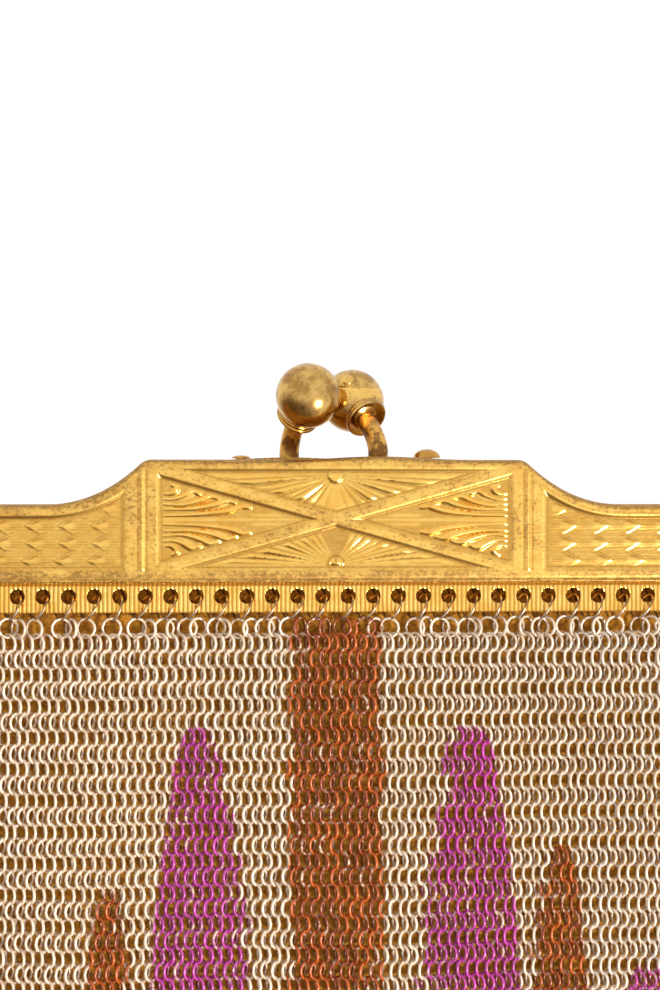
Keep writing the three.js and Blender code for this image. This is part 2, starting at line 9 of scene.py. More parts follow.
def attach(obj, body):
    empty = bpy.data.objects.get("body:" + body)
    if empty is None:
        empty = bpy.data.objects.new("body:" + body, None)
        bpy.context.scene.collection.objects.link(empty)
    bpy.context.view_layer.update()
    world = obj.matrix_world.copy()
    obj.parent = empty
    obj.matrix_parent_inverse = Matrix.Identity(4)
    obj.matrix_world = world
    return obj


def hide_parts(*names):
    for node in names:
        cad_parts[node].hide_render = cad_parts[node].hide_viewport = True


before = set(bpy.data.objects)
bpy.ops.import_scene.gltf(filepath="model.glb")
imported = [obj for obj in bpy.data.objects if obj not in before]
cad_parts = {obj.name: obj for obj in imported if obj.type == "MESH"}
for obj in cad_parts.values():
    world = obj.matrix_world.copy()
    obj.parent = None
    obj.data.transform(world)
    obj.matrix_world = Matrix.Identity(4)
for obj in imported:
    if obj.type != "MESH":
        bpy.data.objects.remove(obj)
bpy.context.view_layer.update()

MM = 0.001
GAP = 0.3

# Stamped frame half
FRAME_WIDTH = 120
FRAME_DEPTH = 6.2
FRAME_HEIGHT = 14.8
FRAME_WALL = 0.9
EDGE_ROUND = 1.0
HALF_WIDTH = FRAME_WIDTH / 2
HALF_BLOCK = 22.9
SHOULDER_DROP = 5.4
SHOULDER_RUN = 12.3
SHOULDER_POWER = 2.25
SHOULDER_EASE = 0.7
END_RADIUS = 6
HUMP_HEIGHT = 0.4
HUMP_REACH = 11
REAR_EDGE = GAP / 2

# Stamped panels: the sunk ground, the relief on it, and the slope of the walls between
RECESS = 0.42
RELIEF = 0.3
WALL_RUN = 0.56
FIELD_GROUND = 0.13
RIDGE_SLOPE = 0.8
PANEL_HALF = 21.2
PANEL_TOP = -1.25
PANEL_BOTTOM = -13.2
PANEL_MIDDLE = (PANEL_TOP + PANEL_BOTTOM) / 2
BAND_WIDTH = 1.3
BAND_SLOPE = (PANEL_TOP - PANEL_BOTTOM) / (2 * PANEL_HALF)
BAND_RISE = BAND_WIDTH / 2 * math.hypot(1, BAND_SLOPE)
BAND_RUN = BAND_RISE / BAND_SLOPE
ARM_INNER = 25.4
ARM_OUTER = 55.5
ARM_TOP_MARGIN = 1.5
BEAD_X = 23.2
BEAD_HALF = 0.2
BEAD_HEIGHT = 0.17
BEAD_GROOVE = 0.5
BEAD_GROOVE_HALF = 0.13
LIP_MIDDLE = 0.2
LIP_HEIGHT = 0.11
LIP_GROOVE = 0.55
RIM_GROOVE = 0.85
RIM_GROOVE_DEPTH = 0.04
GROOVE_HALF = 0.14
GROOVE_DEPTH = 0.05
SUN_RADIUS = 1.0
SUN_OFFSET = 0.62
RAY_RISE = 0.47
LAUREL_PITCH = 3.9
LAUREL_LENGTH = 3.6
LAUREL_WIDTH = 2.5
LAUREL_SPACING = 2.1
LAUREL_ROWS = ((1, 0.1), (0, 0.0), (-1, 0.5), (2, -0.9))

# Pierced rail
REED_PITCH = 0.534
RAIL_HALF = 56.4
RAIL_BOTTOM = -18.4
RAIL_TOP = -12.2
RAIL_FRONT = 5.0
RAIL_THICKNESS = 0.8
HOLE_PITCH = 3.05
HOLE_COUNT = 36
HOLE_RADIUS = 0.89
HOLE_Z = -16.45
HOLE_ROUND = 0.1
HOLE_X = (np.arange(HOLE_COUNT) - (HOLE_COUNT - 1) / 2) * HOLE_PITCH

# Kiss-lock knobs and their rivets
BALL_RADIUS = 3.95
STEM_RADIUS = 1.2
COLLAR_RADIUS = 2.6
COLLAR_ROLL = 0.26
COLLAR_START = 4.1
STEM_X = 5.4
STEM_DEPTH = 1.95
FOOT_TOP = -FRAME_WALL - GAP
FOOT_THICKNESS = 0.8
FOOT_WIDTH = 2.4
RIVET_X = 11.4
RIVET_SHANK = 0.7
FRONT_KNOB = {"across": 2.55, "up": 7.6, "knee": 3.4, "dome": 1.65, "dome_height": 1.1}
BACK_KNOB = {"across": 3.2, "up": 7.85, "knee": 3.6, "dome": 1.2, "dome_height": 0.4}

# Hinge
HINGE_Z = -19.0
EAR_RADIUS = 2.6
EAR_REACH = 5
EAR_OVERLAP = 5
PIN_RADIUS = 0.8
PIN_HEAD_RADIUS = 1.5
PIN_HEAD_HEIGHT = 0.5
INNER_EAR = HALF_WIDTH - 2 * FRAME_WALL - GAP

# Soft bag: rings and lining
BAG_TOP = -19.0
BAG_LENGTH = 128
BAG_HALF_WIDTH = 58
MOUTH_HALF_DEPTH = 5.2
BELLY_HALF_DEPTH = 7.2
FOLD_DEPTH = 0.7
FOLD_COUNT = 3
END_GATHER = 0.65
RING_INSET = 0.6
LINING_INSET = 1.75
LINING_RISE = 3.4
RING_RADIUS = 1.16
RING_WIRE = 0.195
RING_TILT = math.radians(47)
ROW_PITCH = 1.86
ROW_COUNT = 68
RINGS_ROUND = 204
SEEN_ROWS = 26
SEEN_HALF = 41.5
FOOT_ROW = 45
ROW_DROP = 0.09
LOOSE_ROW_DROP = 0.12
ROW_STRAY = 0.035

# Jump rings: beside and below their holes, half sizes, wire and lean
JUMP_SHIFT = 0.33
JUMP_Z = -17.78
JUMP_HALF_LENGTH = 1.58
JUMP_HALF_WIDTH = 1.15
JUMP_WIRE = 0.14
JUMP_LEAN = math.radians(25)
JUMP_THROUGH = [0.42, -0.72, -0.1]

# Creases of the lining
CREASE_DEPTH = 0.16
CREASE_FADE = 15

# Camera
PHOTO_HEIGHT = 118.8
CAMERA_AWAY = 200
CAMERA_TURN = -2.9
CAMERA_AIM = (-0.72, -FRAME_DEPTH, -4.26)
SENSOR = 36

# Bag sections as shares: drop of its length; width, mouth and belly of those half sizes; fold. The
# last row is the power that squares the section's outline.
BAG_SECTIONS = {
    "drop": [0.0, 0.1, 0.3, 0.55, 0.78, 0.9, 0.965, 1.0],
    "width": [0.965, 0.985, 1.0, 1.0, 1.0, 0.99, 0.955, 0.88],
    "mouth": [1.0, 0.6, 0.15, 0.0, 0.0, 0.0, 0.0, 0.0],
    "belly": [0.0, 0.4, 0.85, 1.0, 0.88, 0.7, 0.52, 0.36],
    "fold": [0.0, 0.35, 0.9, 1.0, 0.8, 0.5, 0.2, 0.0],
    "square": [4.6, 3.8, 3.0, 2.8, 2.8, 2.8, 2.8, 2.8],
}


def smooth(value, low, high):
    share = np.clip((value - low) / (high - low), 0, 1)
    return share * share * (3 - 2 * share)


def bell(value, middle, reach):
    return np.exp(-(((value - middle) / reach) ** 2))


class Form:
    """Points and faces of one piece, gathered part by part, with numbers kept for each point."""

    def __init__(self, *names):
        self.names = names
        self.points = []
        self.faces = []
        self.values = {name: [] for name in names}
        self.count = 0

    def add(self, points, faces, closed=True, turned=False, **values):
        points = np.array(points, float).reshape(-1, 3)
        faces = [np.array(group, int) for group in faces if len(group)]
        if closed and volume(points, faces) < 0:
            faces = [group[:, ::-1] for group in faces]
        if turned:
            points[:, :2] *= -1
        self.points.append(points)
        self.faces += [group + self.count for group in faces]
        for name in self.names:
            self.values[name].append(np.ravel(values.get(name, np.zeros(len(points)))))
        self.count += len(points)


def volume(points, faces):
    total = 0.0
    for group in faces:
        for i in range(1, group.shape[1] - 1):
            a, b, c = points[group[:, 0]], points[group[:, i]], points[group[:, i + 1]]
            total += np.einsum("ij,ij->", a, np.cross(b, c))
    return total


def grid(rows, columns, closed_rows=False, closed_columns=False):
    """Quads of a grid of points numbered row by row."""
    i = np.arange(rows if closed_rows else rows - 1)[:, None]
    j = np.arange(columns if closed_columns else columns - 1)[None, :]
    below = (i + 1) % rows * columns
    beside = (j + 1) % columns
    quads = [i * columns + j, i * columns + beside, below + beside, below + j]
    return np.stack(np.broadcast_arrays(*quads), axis=-1).reshape(-1, 4)


def piece(name, form, material, replaced, sharp=40):
    """One object of the scene and the CAD nodes that it replaces."""
    mesh = bpy.data.meshes.new(name)
    points = np.concatenate(form.points) * MM
    corners = np.concatenate([group.ravel() for group in form.faces])
    sizes = np.concatenate([np.full(len(group), group.shape[1]) for group in form.faces])
    mesh.vertices.add(len(points))
    mesh.vertices.foreach_set("co", points.astype(np.float32).ravel())
    mesh.loops.add(len(corners))
    mesh.loops.foreach_set("vertex_index", corners.astype(np.int32))
    mesh.polygons.add(len(sizes))
    mesh.polygons.foreach_set("loop_start", (np.cumsum(sizes) - sizes).astype(np.int32))
    mesh.polygons.foreach_set("use_smooth", np.ones(len(sizes), bool))
    mesh.update(calc_edges=True)
    if sharp:
        mesh.set_sharp_from_angle(angle=math.radians(sharp))
    for key in form.names:
        attribute = mesh.attributes.new(key, "FLOAT", "POINT")
        attribute.data.foreach_set("value", np.concatenate(form.values[key]).astype(np.float32))
    mesh.materials.append(material)
    made = bpy.data.objects.new(name, mesh)
    bpy.context.scene.collection.objects.link(made)
    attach(made, "root")
    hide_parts(*replaced)
    return made


# Plain forms


def prism(outline, holes, place, low, high):
    """An outline with holes, drawn on two axes and drawn out along the third by place(a, b, c)."""
    loops = [outline, *holes]
    flat = [point for loop in loops for point in loop]
    corners = [[Vector((a, b, 0)) for a, b in loop] for loop in loops]
    ends = np.array(tessellate_polygon(corners))
    points = [place(a, b, c) for c in (low, high) for a, b in flat]
    count = len(flat)
    walls = []
    first = 0
    for loop in loops:
        for i in range(len(loop)):
            a, b = first + i, first + (i + 1) % len(loop)
            walls.append([a, b, b + count, a + count])
        first += len(loop)
    return points, [*oriented(points, ends, ends + count, np.array(walls))]


def oriented(points, low, high, walls):
    """A prism's end faces, turned to look away from its middle, and its walls as they are."""
    points = np.array(points, float)
    middle = points.mean(0)

    def away(face):
        a, b, c = points[face[0]], points[face[1]], points[face[2]]
        return np.dot(np.cross(b - a, c - a), (a + b + c) / 3 - middle)

    low = np.array([face if away(face) > 0 else face[::-1] for face in low])
    high = np.array([face if away(face) > 0 else face[::-1] for face in high])
    return low, high, walls


def rectangle(a_low, a_high, b_low, b_high):
    return [(a_low, b_low), (a_high, b_low), (a_high, b_high), (a_low, b_high)]


def arc(middle, across, up, degrees):
    """Points of an arc with two half sizes, at the given degrees."""
    angles = [math.radians(step) for step in degrees]
    return [(middle[0] + across * math.cos(a), middle[1] + up * math.sin(a)) for a in angles]


def circle(middle, radius, sides):
    angles = np.arange(sides) * 2 * math.pi / sides
    return [(middle[0] + radius * math.cos(a), middle[1] + radius * math.sin(a)) for a in angles]


def turned_form(outline, sides, start, axis):
    """A turned solid. The outline is radius and place along the axis, from the start point."""
    axis = Vector(axis).normalized()
    side = axis.orthogonal().normalized()
    across = axis.cross(side)
    angles = np.arange(sides) * 2 * math.pi / sides
    around = np.cos(angles)[:, None] * np.array(side) + np.sin(angles)[:, None] * np.array(across)
    rows = [np.array(start) + along * np.array(axis) + radius * around for radius, along in outline]
    return np.concatenate(rows), [grid(len(outline), sides, closed_columns=True)]


def swept(path, radii, sides):
    """A round bar along a smooth path of points, open at both its ends."""
    path = np.array(path, float)
    ahead = np.gradient(path, axis=0)
    ahead /= np.linalg.norm(ahead, axis=1)[:, None]
    side = np.cross(ahead, np.array([0.31, 0.95, 0.05]))
    side /= np.linalg.norm(side, axis=1)[:, None]
    across = np.cross(ahead, side)
    angles = np.arange(sides) * 2 * math.pi / sides
    around = (
        np.cos(angles)[None, :, None] * side[:, None, :]
        + np.sin(angles)[None, :, None] * across[:, None, :]
    )
    points = path[:, None, :] + np.array(radii)[:, None, None] * around
    return points.reshape(-1, 3), [grid(len(path), sides, closed_columns=True)]


# Stamped frame


def frame_top(x):
    out = np.abs(x)
    near = np.minimum(1, np.abs(x - STEM_X) / HUMP_REACH)
    hump = HUMP_HEIGHT * (1 + np.cos(math.pi * near)) / 2
    beyond = out - HALF_BLOCK
    eased = np.maximum(0, beyond + SHOULDER_EASE) ** 2 / (4 * SHOULDER_EASE)
    share = np.minimum(1, np.where(beyond > SHOULDER_EASE, beyond, eased) / SHOULDER_RUN)
    arm = -SHOULDER_DROP * (1 - (1 - share) ** SHOULDER_POWER)
    past = np.maximum(0, out - (HALF_WIDTH - END_RADIUS))
    end = END_RADIUS - np.sqrt(np.maximum(0, END_RADIUS**2 - past**2))
    return hump + arm - end


def edge_distance(x, z):
    """Distance in from the frame's top edge and ends."""
    out = np.abs(x)
    step = 0.05
    slope = (frame_top(x + step) - frame_top(x - step)) / (2 * step)
    below = (frame_top(x) - z) / np.hypot(1, slope)
    corner_x = HALF_WIDTH - END_RADIUS
    corner_z = -SHOULDER_DROP - END_RADIUS
    corner = END_RADIUS - np.hypot(out - corner_x, z - corner_z)
    distance = np.minimum(below, HALF_WIDTH - out)
    distance = np.where(out > corner_x, HALF_WIDTH - out, distance)
    return np.where((out > corner_x) & (z > corner_z), corner, distance)


def inside_by(corners, x, z):
    """How far a point lies inside a convex outline, less than nothing outside it."""
    ring = list(zip(corners, corners[1:] + corners[:1]))
    turn = sum(a[0] * b[1] - b[0] * a[1] for a, b in ring)
    depth = np.full(x.shape, np.inf)
    for a, b in ring:
        run, rise = b[0] - a[0], b[1] - a[1]
        side = (run * (z - a[1]) - rise * (x - a[0])) / math.hypot(run, rise)
        depth = np.minimum(depth, side * math.copysign(1, turn))
    return depth


def stroke(x, z, points, widths):
    """Height of a rounded bar along a line of points. Its edges all slope alike."""
    height = np.zeros(x.shape)
    for i in range(len(points) - 1):
        (ax, az), (bx, bz) = points[i], points[i + 1]
        run, rise = bx - ax, bz - az
        share = ((x - ax) * run + (z - az) * rise) / (run * run + rise * rise + 1e-12)
        share = np.clip(share, 0, 1)
        away = np.hypot(x - ax - share * run, z - az - share * rise)
        width = widths[i] + share * (widths[i + 1] - widths[i])
        height = np.maximum(height, RIDGE_SLOPE * width * (1 - (away / width) ** 2))
    return height


# Ridges of a half sun: angle of the crest up from the field's long side, half width, and height
UPPER_RAYS = [
    (1.5, 4.0, 0.5),
    (10.0, 6.5, 0.9),
    (21.0, 5.0, 0.55),
    (32.0, 7.5, 1.0),
    (43.0, 5.0, 0.6),
    (54.0, 7.5, 1.0),
    (65.0, 6.0, 0.7),
]
LOWER_RAYS = [
    (4.0, 4.0, 0.6),
    (12.0, 5.0, 0.8),
    (22.5, 6.0, 1.0),
    (32.0, 4.5, 0.6),
    (41.0, 5.5, 1.0),
    (50.0, 4.5, 0.7),
    (58.7, 4.5, 1.0),
    (68.0, 4.0, 1.0),
    (75.0, 3.0, 0.9),
]


def fan(x, z, edge, turn, wedge, crests, petals):
    """A half sun: ridges of even slope from a boss at a field's long side, with painted shade
    between them.
    """
    up = (z - edge - turn * SUN_OFFSET) * turn
    low = np.degrees(np.arctan2(up / RAY_RISE, np.abs(x)))
    away = np.hypot(x, up)
    height = np.zeros(x.shape)
    shade = np.zeros(x.shape)
    for angle, half, tall in crests:
        off = np.abs(low - angle) / half
        wide = away * math.radians(half) * (RAY_RISE + (1 - RAY_RISE) * angle / 90)
        crest = np.minimum(RIDGE_SLOPE * np.maximum(wide - 0.05, 0), RELIEF)
        height = np.maximum(height, tall * crest * (1 - np.minimum(off, 1)))
        # Painted shade along one side of each ridge, in its valley
        shade = np.maximum(shade, bell(off, 1, 0.28) * (low > angle))
    height = height * smooth(wedge - low, -2, 1)
    if petals:
        lines = bell(low, wedge + 9, 1.3) * (away > 1.5)
        height = np.maximum(height, 0.1 * smooth(low - wedge, -1, 3) * (1 - 0.6 * lines))
        # Painted shade along the grooves that outline the petals
        shade = np.maximum(shade, 0.5 * lines)
    height = height * smooth(away, SUN_RADIUS, SUN_RADIUS + 0.5)
    scallop = 0.9 + 0.1 * np.cos(petals * np.arctan2(up, x))
    if not petals:
        scallop = 1 - 0.6 * bell(away, 0.62 * SUN_RADIUS, 0.12)
    boss = np.sqrt(np.clip(1 - (away / SUN_RADIUS) ** 2, 0, 1)) * scallop
    shade = shade * smooth(away, SUN_RADIUS + 0.2, SUN_RADIUS + 0.9)
    # Painted shadow in a ring round the boss
    shade = np.maximum(shade, bell(away, SUN_RADIUS, 0.16))
    return FIELD_GROUND + np.maximum(height, 1.1 * RELIEF * boss), shade


def curve(points, count):
    """A smooth line through a few points."""
    points = np.array(points, float)
    way = np.concatenate([[0], np.cumsum(np.hypot(*np.diff(points, axis=0).T))])
    slope = np.gradient(points, way, axis=0)
    line = []
    for far in np.linspace(0, way[-1], count):
        i = min(int(np.searchsorted(way, far, side="right")) - 1, len(way) - 2)
        span = way[i + 1] - way[i]
        t = (far - way[i]) / span
        line.append(
            (2 * t**3 - 3 * t**2 + 1) * points[i]
            + (t**3 - 2 * t**2 + t) * span * slope[i]
            + (3 * t**2 - 2 * t**3) * points[i + 1]
            + (t**3 - t**2) * span * slope[i + 1]
        )
    return [tuple(point) for point in line]


# Lobes of a side field's leaf spray: u from the field's apex, v away from its midrib
LOBES = [
    [(18.6, 0.5), (13.0, 0.75), (10.2, 1.15), (8.4, 1.7), (7.7, 1.55), (7.9, 1.95)],
    [(18.6, 1.3), (14.6, 1.35), (12.0, 1.85), (10.3, 2.4), (9.6, 2.15), (9.9, 2.6)],
    [(18.6, 1.95), (16.0, 1.8), (13.8, 2.35), (12.3, 2.95), (11.7, 2.65), (12.0, 3.15)],
    [(18.6, 2.55), (17.0, 2.5), (15.7, 2.95), (14.5, 3.55), (13.9, 3.2), (14.2, 3.75)],
    [(18.5, 3.2), (17.5, 3.1), (16.8, 3.45), (16.7, 4.05), (17.2, 4.25)],
]


def leaf_strokes():
    """The spray's ribs: each lobe grows to a blunt curled tip, with finer ribs beside it."""
    strokes = []
    for i, lobe in enumerate(LOBES):
        line = curve(lobe, 15)
        share = np.linspace(0, 1, len(line))
        wide = 0.2 + 0.24 * smooth(share, 0.2, 0.7) - 0.14 * smooth(share, 0.88, 1.0)
        strokes.append((line, list(wide), 1.0))
        if i < 4:
            ribs = enumerate(lobe[1:4])
            beside = [(u + 0.35 + 0.75 * k, v + 0.42 + 0.05 * k) for k, (u, v) in ribs]
            strokes.append((curve(beside, 9), list(np.linspace(0.1, 0.19, 9)), 0.75))
    return strokes


def leaf(x, z, strokes):
    u = np.abs(x) - BAND_RUN
    v = np.abs(z - PANEL_MIDDLE)
    height = np.zeros(x.shape)
    for line, width, tall in strokes:
        height = np.maximum(height, tall * stroke(u, v, line, width))
    rib_width = 0.1 + 0.2 * np.clip(u / (PANEL_HALF - BAND_RUN), 0, 1)
    rib = 0.12 * np.clip(1 - (v / rib_width) ** 2, 0, 1) * (1 - 0.6 * bell(v, 0, 0.06)) * (u > 1)
    tip = 0.07 * bell(v, 0.55, 0.2) * smooth(u, 1.8, 3) * smooth(8.4 - u, 0, 1.2)
    return FIELD_GROUND + np.maximum(np.maximum(height, rib), tip)


def laurel(x, z):
    """Overlapping leaves in four rows, tips towards the frame's end: height, and painted shade."""
    out = np.abs(x)
    height = np.zeros(x.shape)
    shade = np.zeros(x.shape)
    middle = PANEL_BOTTOM + 1.5 * LAUREL_SPACING
    for i in range(int((ARM_OUTER - ARM_INNER) / LAUREL_PITCH) + 2, 0, -1):
        for row, shift in LAUREL_ROWS:
            share = (ARM_INNER + i * LAUREL_PITCH + shift - out) / LAUREL_LENGTH
            up = z - middle - row * LAUREL_SPACING
            across = np.abs(up)
            half = np.clip(share / 0.62, 0, 1) ** 0.9 * LAUREL_WIDTH / 2
            inside = half - across
            on = smooth(inside, 0, 0.24) * (share > 0) * (share < 1.3)
            lie = 0.06 + 0.11 * np.clip(1 - share, 0, 1)
            fold = 1 - 0.35 * np.clip(across / (LAUREL_WIDTH / 2), 0, 1)
            vein = 0.05 * bell(across, 0, 0.15) * smooth(share, 0.08, 0.3)
            grooves = bell(across, 0.45 + 0.1 * share, 0.15) * smooth(share, 0.25, 0.45)
            grooves = grooves + bell(across, 0.85 + 0.1 * share, 0.14) * smooth(share, 0.45, 0.65)
            leaf_height = on * (lie * fold + vein - 0.05 * grooves)
            # Painted shade: on the upper facet near each tip, along the grooves, and near the midrib
            # towards the root
            facet = bell(inside, 0.32, 0.24) * smooth(up, 0.0, 0.25) * bell(share, 0.32, 0.26)
            under = bell(across, 0.16, 0.16) * smooth(share, 0.5, 0.7) * smooth(1.15 - share, 0, 0.2)
            tone = np.clip(facet + 0.6 * grooves + 0.7 * under, 0, 1)
            shade = np.where(leaf_height > height, on * tone, shade)
            # Painted shade along each leaf's outline
            line = bell(inside, 0.0, 0.11) * (share > -0.02) * (share < 0.75)
            shade = np.maximum(shade, line)
            height = np.maximum(height, leaf_height)
    return FIELD_GROUND + height, shade


def arm_inside(x, z, side):
    out = side * x
    sides = np.minimum(out - ARM_INNER, ARM_OUTER - out)
    below = edge_distance(x, z) - ARM_TOP_MARGIN
    return np.minimum(np.minimum(sides, z - PANEL_BOTTOM), below)


def stamped(x, z):
    """Height of the stamped face over its ground, and how far it is plain, its painted shade in
    creases and grooves, and its nearness to the rim.
    """
    side_rise = BAND_SLOPE * PANEL_HALF - BAND_RISE
    strokes = leaf_strokes()
    spray = leaf(x, z, strokes)
    height = np.full(x.shape, RECESS)
    plain = np.ones(x.shape)
    crease = np.zeros(x.shape)
    long_half = PANEL_HALF - BAND_RUN
    fields = []
    none = np.zeros(x.shape)
    leaves, leaf_painted_shade = laurel(x, z)
    for side in (-1, 1):
        corners = [
            (side * PANEL_HALF, PANEL_MIDDLE - side_rise),
            (side * BAND_RUN, PANEL_MIDDLE),
            (side * PANEL_HALF, PANEL_MIDDLE + side_rise),
        ]
        fields.append((inside_by(corners, x, z), spray, 0.5, none))
        fields.append((arm_inside(x, z, side), leaves, 0.5, leaf_painted_shade))
    upper = [(-long_half, PANEL_TOP), (0, PANEL_MIDDLE + BAND_RISE), (long_half, PANEL_TOP)]
    lower = [(-long_half, PANEL_BOTTOM), (0, PANEL_MIDDLE - BAND_RISE), (long_half, PANEL_BOTTOM)]
    high_sun, high_painted_shade = fan(x, z, PANEL_TOP, -1, 72, UPPER_RAYS, 9)
    low_sun, low_painted_shade = fan(x, z, PANEL_BOTTOM, 1, 78, LOWER_RAYS, 0)
    fields.append((inside_by(upper, x, z), high_sun, 0.3, high_painted_shade))
    fields.append((inside_by(lower, x, z), low_sun, 0.3, low_painted_shade))
    # Crease is painted shade: on the low ground between the relief, at the feet of the walls, and
    # the fans' and leaves' own painted shade
    for depth, filling, dark, shade in fields:
        sunk = smooth(depth, -WALL_RUN / 2, WALL_RUN / 2)
        filling = FIELD_GROUND + (filling - FIELD_GROUND) * smooth(depth, 0.2, 0.9)
        height = height * (1 - sunk) + filling * sunk
        plain = plain * (1 - sunk)
        low = 1 - smooth(filling - FIELD_GROUND, 0, 0.08)
        crease = np.maximum(crease, sunk * np.maximum(dark * low, 0.9 * shade))
        crease = np.maximum(crease, bell(depth, WALL_RUN / 2, 0.13))
    on_block = smooth(z, PANEL_BOTTOM - 0.2, PANEL_BOTTOM) * smooth(PANEL_TOP + 0.3 - z, 0, 0.3)
    bead = bell(np.abs(x), BEAD_X, BEAD_HALF) * on_block
    beside = bell(np.abs(np.abs(x) - BEAD_X), BEAD_GROOVE, BEAD_GROOVE_HALF) * on_block
    height = height + BEAD_HEIGHT * bead - GROOVE_DEPTH * beside
    # Painted shade in the grooves beside the bead
    crease = np.maximum(crease, 0.8 * beside)
    lip = bell(z, -FRAME_HEIGHT + LIP_MIDDLE, GROOVE_HALF)
    lip_groove = bell(z, -FRAME_HEIGHT + LIP_GROOVE, GROOVE_HALF)
    height = height + LIP_HEIGHT * lip - GROOVE_DEPTH * lip_groove
    # Painted shade in the groove above the lip
    crease = np.maximum(crease, 0.4 * lip_groove)
    edge = edge_distance(x, z)
    groove = bell(edge, RIM_GROOVE, GROOVE_HALF)
    height = height - RIM_GROOVE_DEPTH * groove
    # Painted shade in the rim groove; the gilt also darkens the rim's nearness as painted shade
    # along the rounded top edge
    return height, plain, np.maximum(crease, 0.35 * groove), 1 - smooth(edge, 0.1, 0.7)


def frame_columns(fine, coarse):
    """Places along x: closest over the middle block, and widest apart beyond the photo's edge."""
    block = HALF_BLOCK + 2 * SHOULDER_EASE
    middle = np.linspace(-block, block, int(2 * block / fine) + 1)
    arm = np.linspace(block, SEEN_HALF, int((SEEN_HALF - block) / (1.25 * fine)) + 1)[1:]
    past = np.linspace(SEEN_HALF, HALF_WIDTH - 0.35, int((HALF_WIDTH - SEEN_HALF) / coarse) + 1)[1:]
    end = np.array([*arm, *past, HALF_WIDTH - 0.2, HALF_WIDTH - 0.08, HALF_WIDTH])
    return np.concatenate([-end[::-1], middle, end])


def frame_shell(form, fine, coarse, rows, turned):
    """The channel: stamped face, rounded top, flange and inner skin, one closed loop a column."""
    x = frame_columns(fine, coarse)
    top = frame_top(x)
    floor = np.full(x.shape, -FRAME_HEIGHT)
    low_rows = np.linspace(0, 1, rows)[:, None]
    face_z = floor + low_rows * (top - EDGE_ROUND - floor)
    quarter = np.radians([15, 30, 45, 58, 70, 80, 90])[:, None]
    edge_z = top - EDGE_ROUND + EDGE_ROUND * np.sin(quarter)
    z = np.concatenate([face_z, edge_z])
    wide = np.broadcast_to(x, z.shape)
    height, plain, crease, brim = stamped(wide, z)
    depth = FRAME_DEPTH - RECESS + height
    edge = np.clip(edge_distance(wide, z), 0, EDGE_ROUND)
    rounded = FRAME_DEPTH - EDGE_ROUND + np.sqrt(EDGE_ROUND**2 - (EDGE_ROUND - edge) ** 2)
    depth = np.minimum(depth, rounded + 0.3 * edge)
    lip = np.clip(z + FRAME_HEIGHT, 0, 0.2) / 0.2
    depth = depth - 0.2 * (1 - np.sqrt(1 - (1 - lip) ** 2))
    inner_x = np.clip(x, -HALF_WIDTH + FRAME_WALL, HALF_WIDTH - FRAME_WALL)
    inner_top = np.maximum(top - FRAME_WALL, -FRAME_HEIGHT + 0.4)
    inner_depth = FRAME_DEPTH - FRAME_WALL
    flange = np.array([0.8, 0.55, 0.3, 0.0])[:, None]
    lip_depth = depth[-1]
    flange_depth = REAR_EDGE + flange * (lip_depth - REAR_EDGE)
    loop_x = [wide, np.broadcast_to(x, flange_depth.shape)]
    loop_y = [depth, flange_depth]
    loop_z = [z, np.broadcast_to(top, flange_depth.shape)]
    for y, z_row in ((REAR_EDGE, inner_top), (inner_depth, inner_top), (inner_depth, floor)):
        loop_x.append(inner_x[None])
        loop_y.append(np.full((1, len(x)), y))
        loop_z.append(z_row[None])
    xs = np.concatenate(loop_x)
    ys = -np.concatenate(loop_y)
    zs = np.concatenate(loop_z)
    count = len(x)
    quads = [grid(len(xs), count, closed_rows=True)]
    face_rows = len(z)
    rear = face_rows + 3
    rear_in = rear + 1
    front_in_top = rear + 2
    front_in = rear + 3
    # The fans that close each end leave out the lower rear part of the CAD's end wall
    for column in (0, count - 1):
        outer = [row * count + column for row in range(face_rows)]
        base = outer[0]
        tip = outer[-1]
        rim = [rear * count + column, rear_in * count + column]
        inner = [front_in_top * count + column, front_in * count + column]
        fans = [[base, a, b] for a, b in zip(outer[1:-1], outer[2:])]
        quads.append(np.array([*fans, [base, tip, rim[0]], [base, rim[0], rim[1]]]))
        quads.append(np.array([[base, rim[1], inner[0]], [base, inner[0], inner[1]]]))
    blank = np.zeros((len(xs) - face_rows, count))
    # The top flange counts as plain and as rim, so the gilt gives it the rim's painted shade
    tops = blank.copy()
    tops[:4] = 1
    form.add(
        np.stack([xs, ys, zs], axis=-1).reshape(-1, 3),
        quads,
        turned=turned,
        plain=np.concatenate([plain, tops]),
        crease=np.concatenate([crease, blank]),
        rim=np.concatenate([brim, tops]),
    )


def hinge_ears(form, turned):
    web_top = -FRAME_HEIGHT + EAR_OVERLAP
    web_back = -2 * GAP
    outline = [(-EAR_REACH, web_top), (-EAR_REACH, HINGE_Z + EAR_RADIUS)]
    outline += arc((0, HINGE_Z), EAR_RADIUS, EAR_RADIUS, range(180, 441, 13))
    outline += [(web_back, -FRAME_HEIGHT - 2 * GAP), (web_back, web_top)]
    eye = circle((0, HINGE_Z), PIN_RADIUS + GAP, 24)
    for low in (HALF_WIDTH - FRAME_WALL, -INNER_EAR - FRAME_WALL):
        solid = prism(outline, [eye], lambda a, b, c: (c, a, b), low, low + FRAME_WALL)
        form.add(*solid, turned=turned)
    spacer = rectangle(-EAR_REACH, web_back, -FRAME_HEIGHT + FRAME_WALL, web_top)
    low = -HALF_WIDTH + FRAME_WALL / 2
    form.add(*prism(spacer, [], lambda a, b, c: (c, a, b), low, -INNER_EAR), turned=turned)


def frame_half(name, fine, coarse, rows, turned, material):
    form = Form("plain", "crease", "rim")
    frame_shell(form, fine, coarse, rows, turned)
    hinge_ears(form, turned)
    piece(name + "_relief", form, material, [name], sharp=55)


# Pierced rail


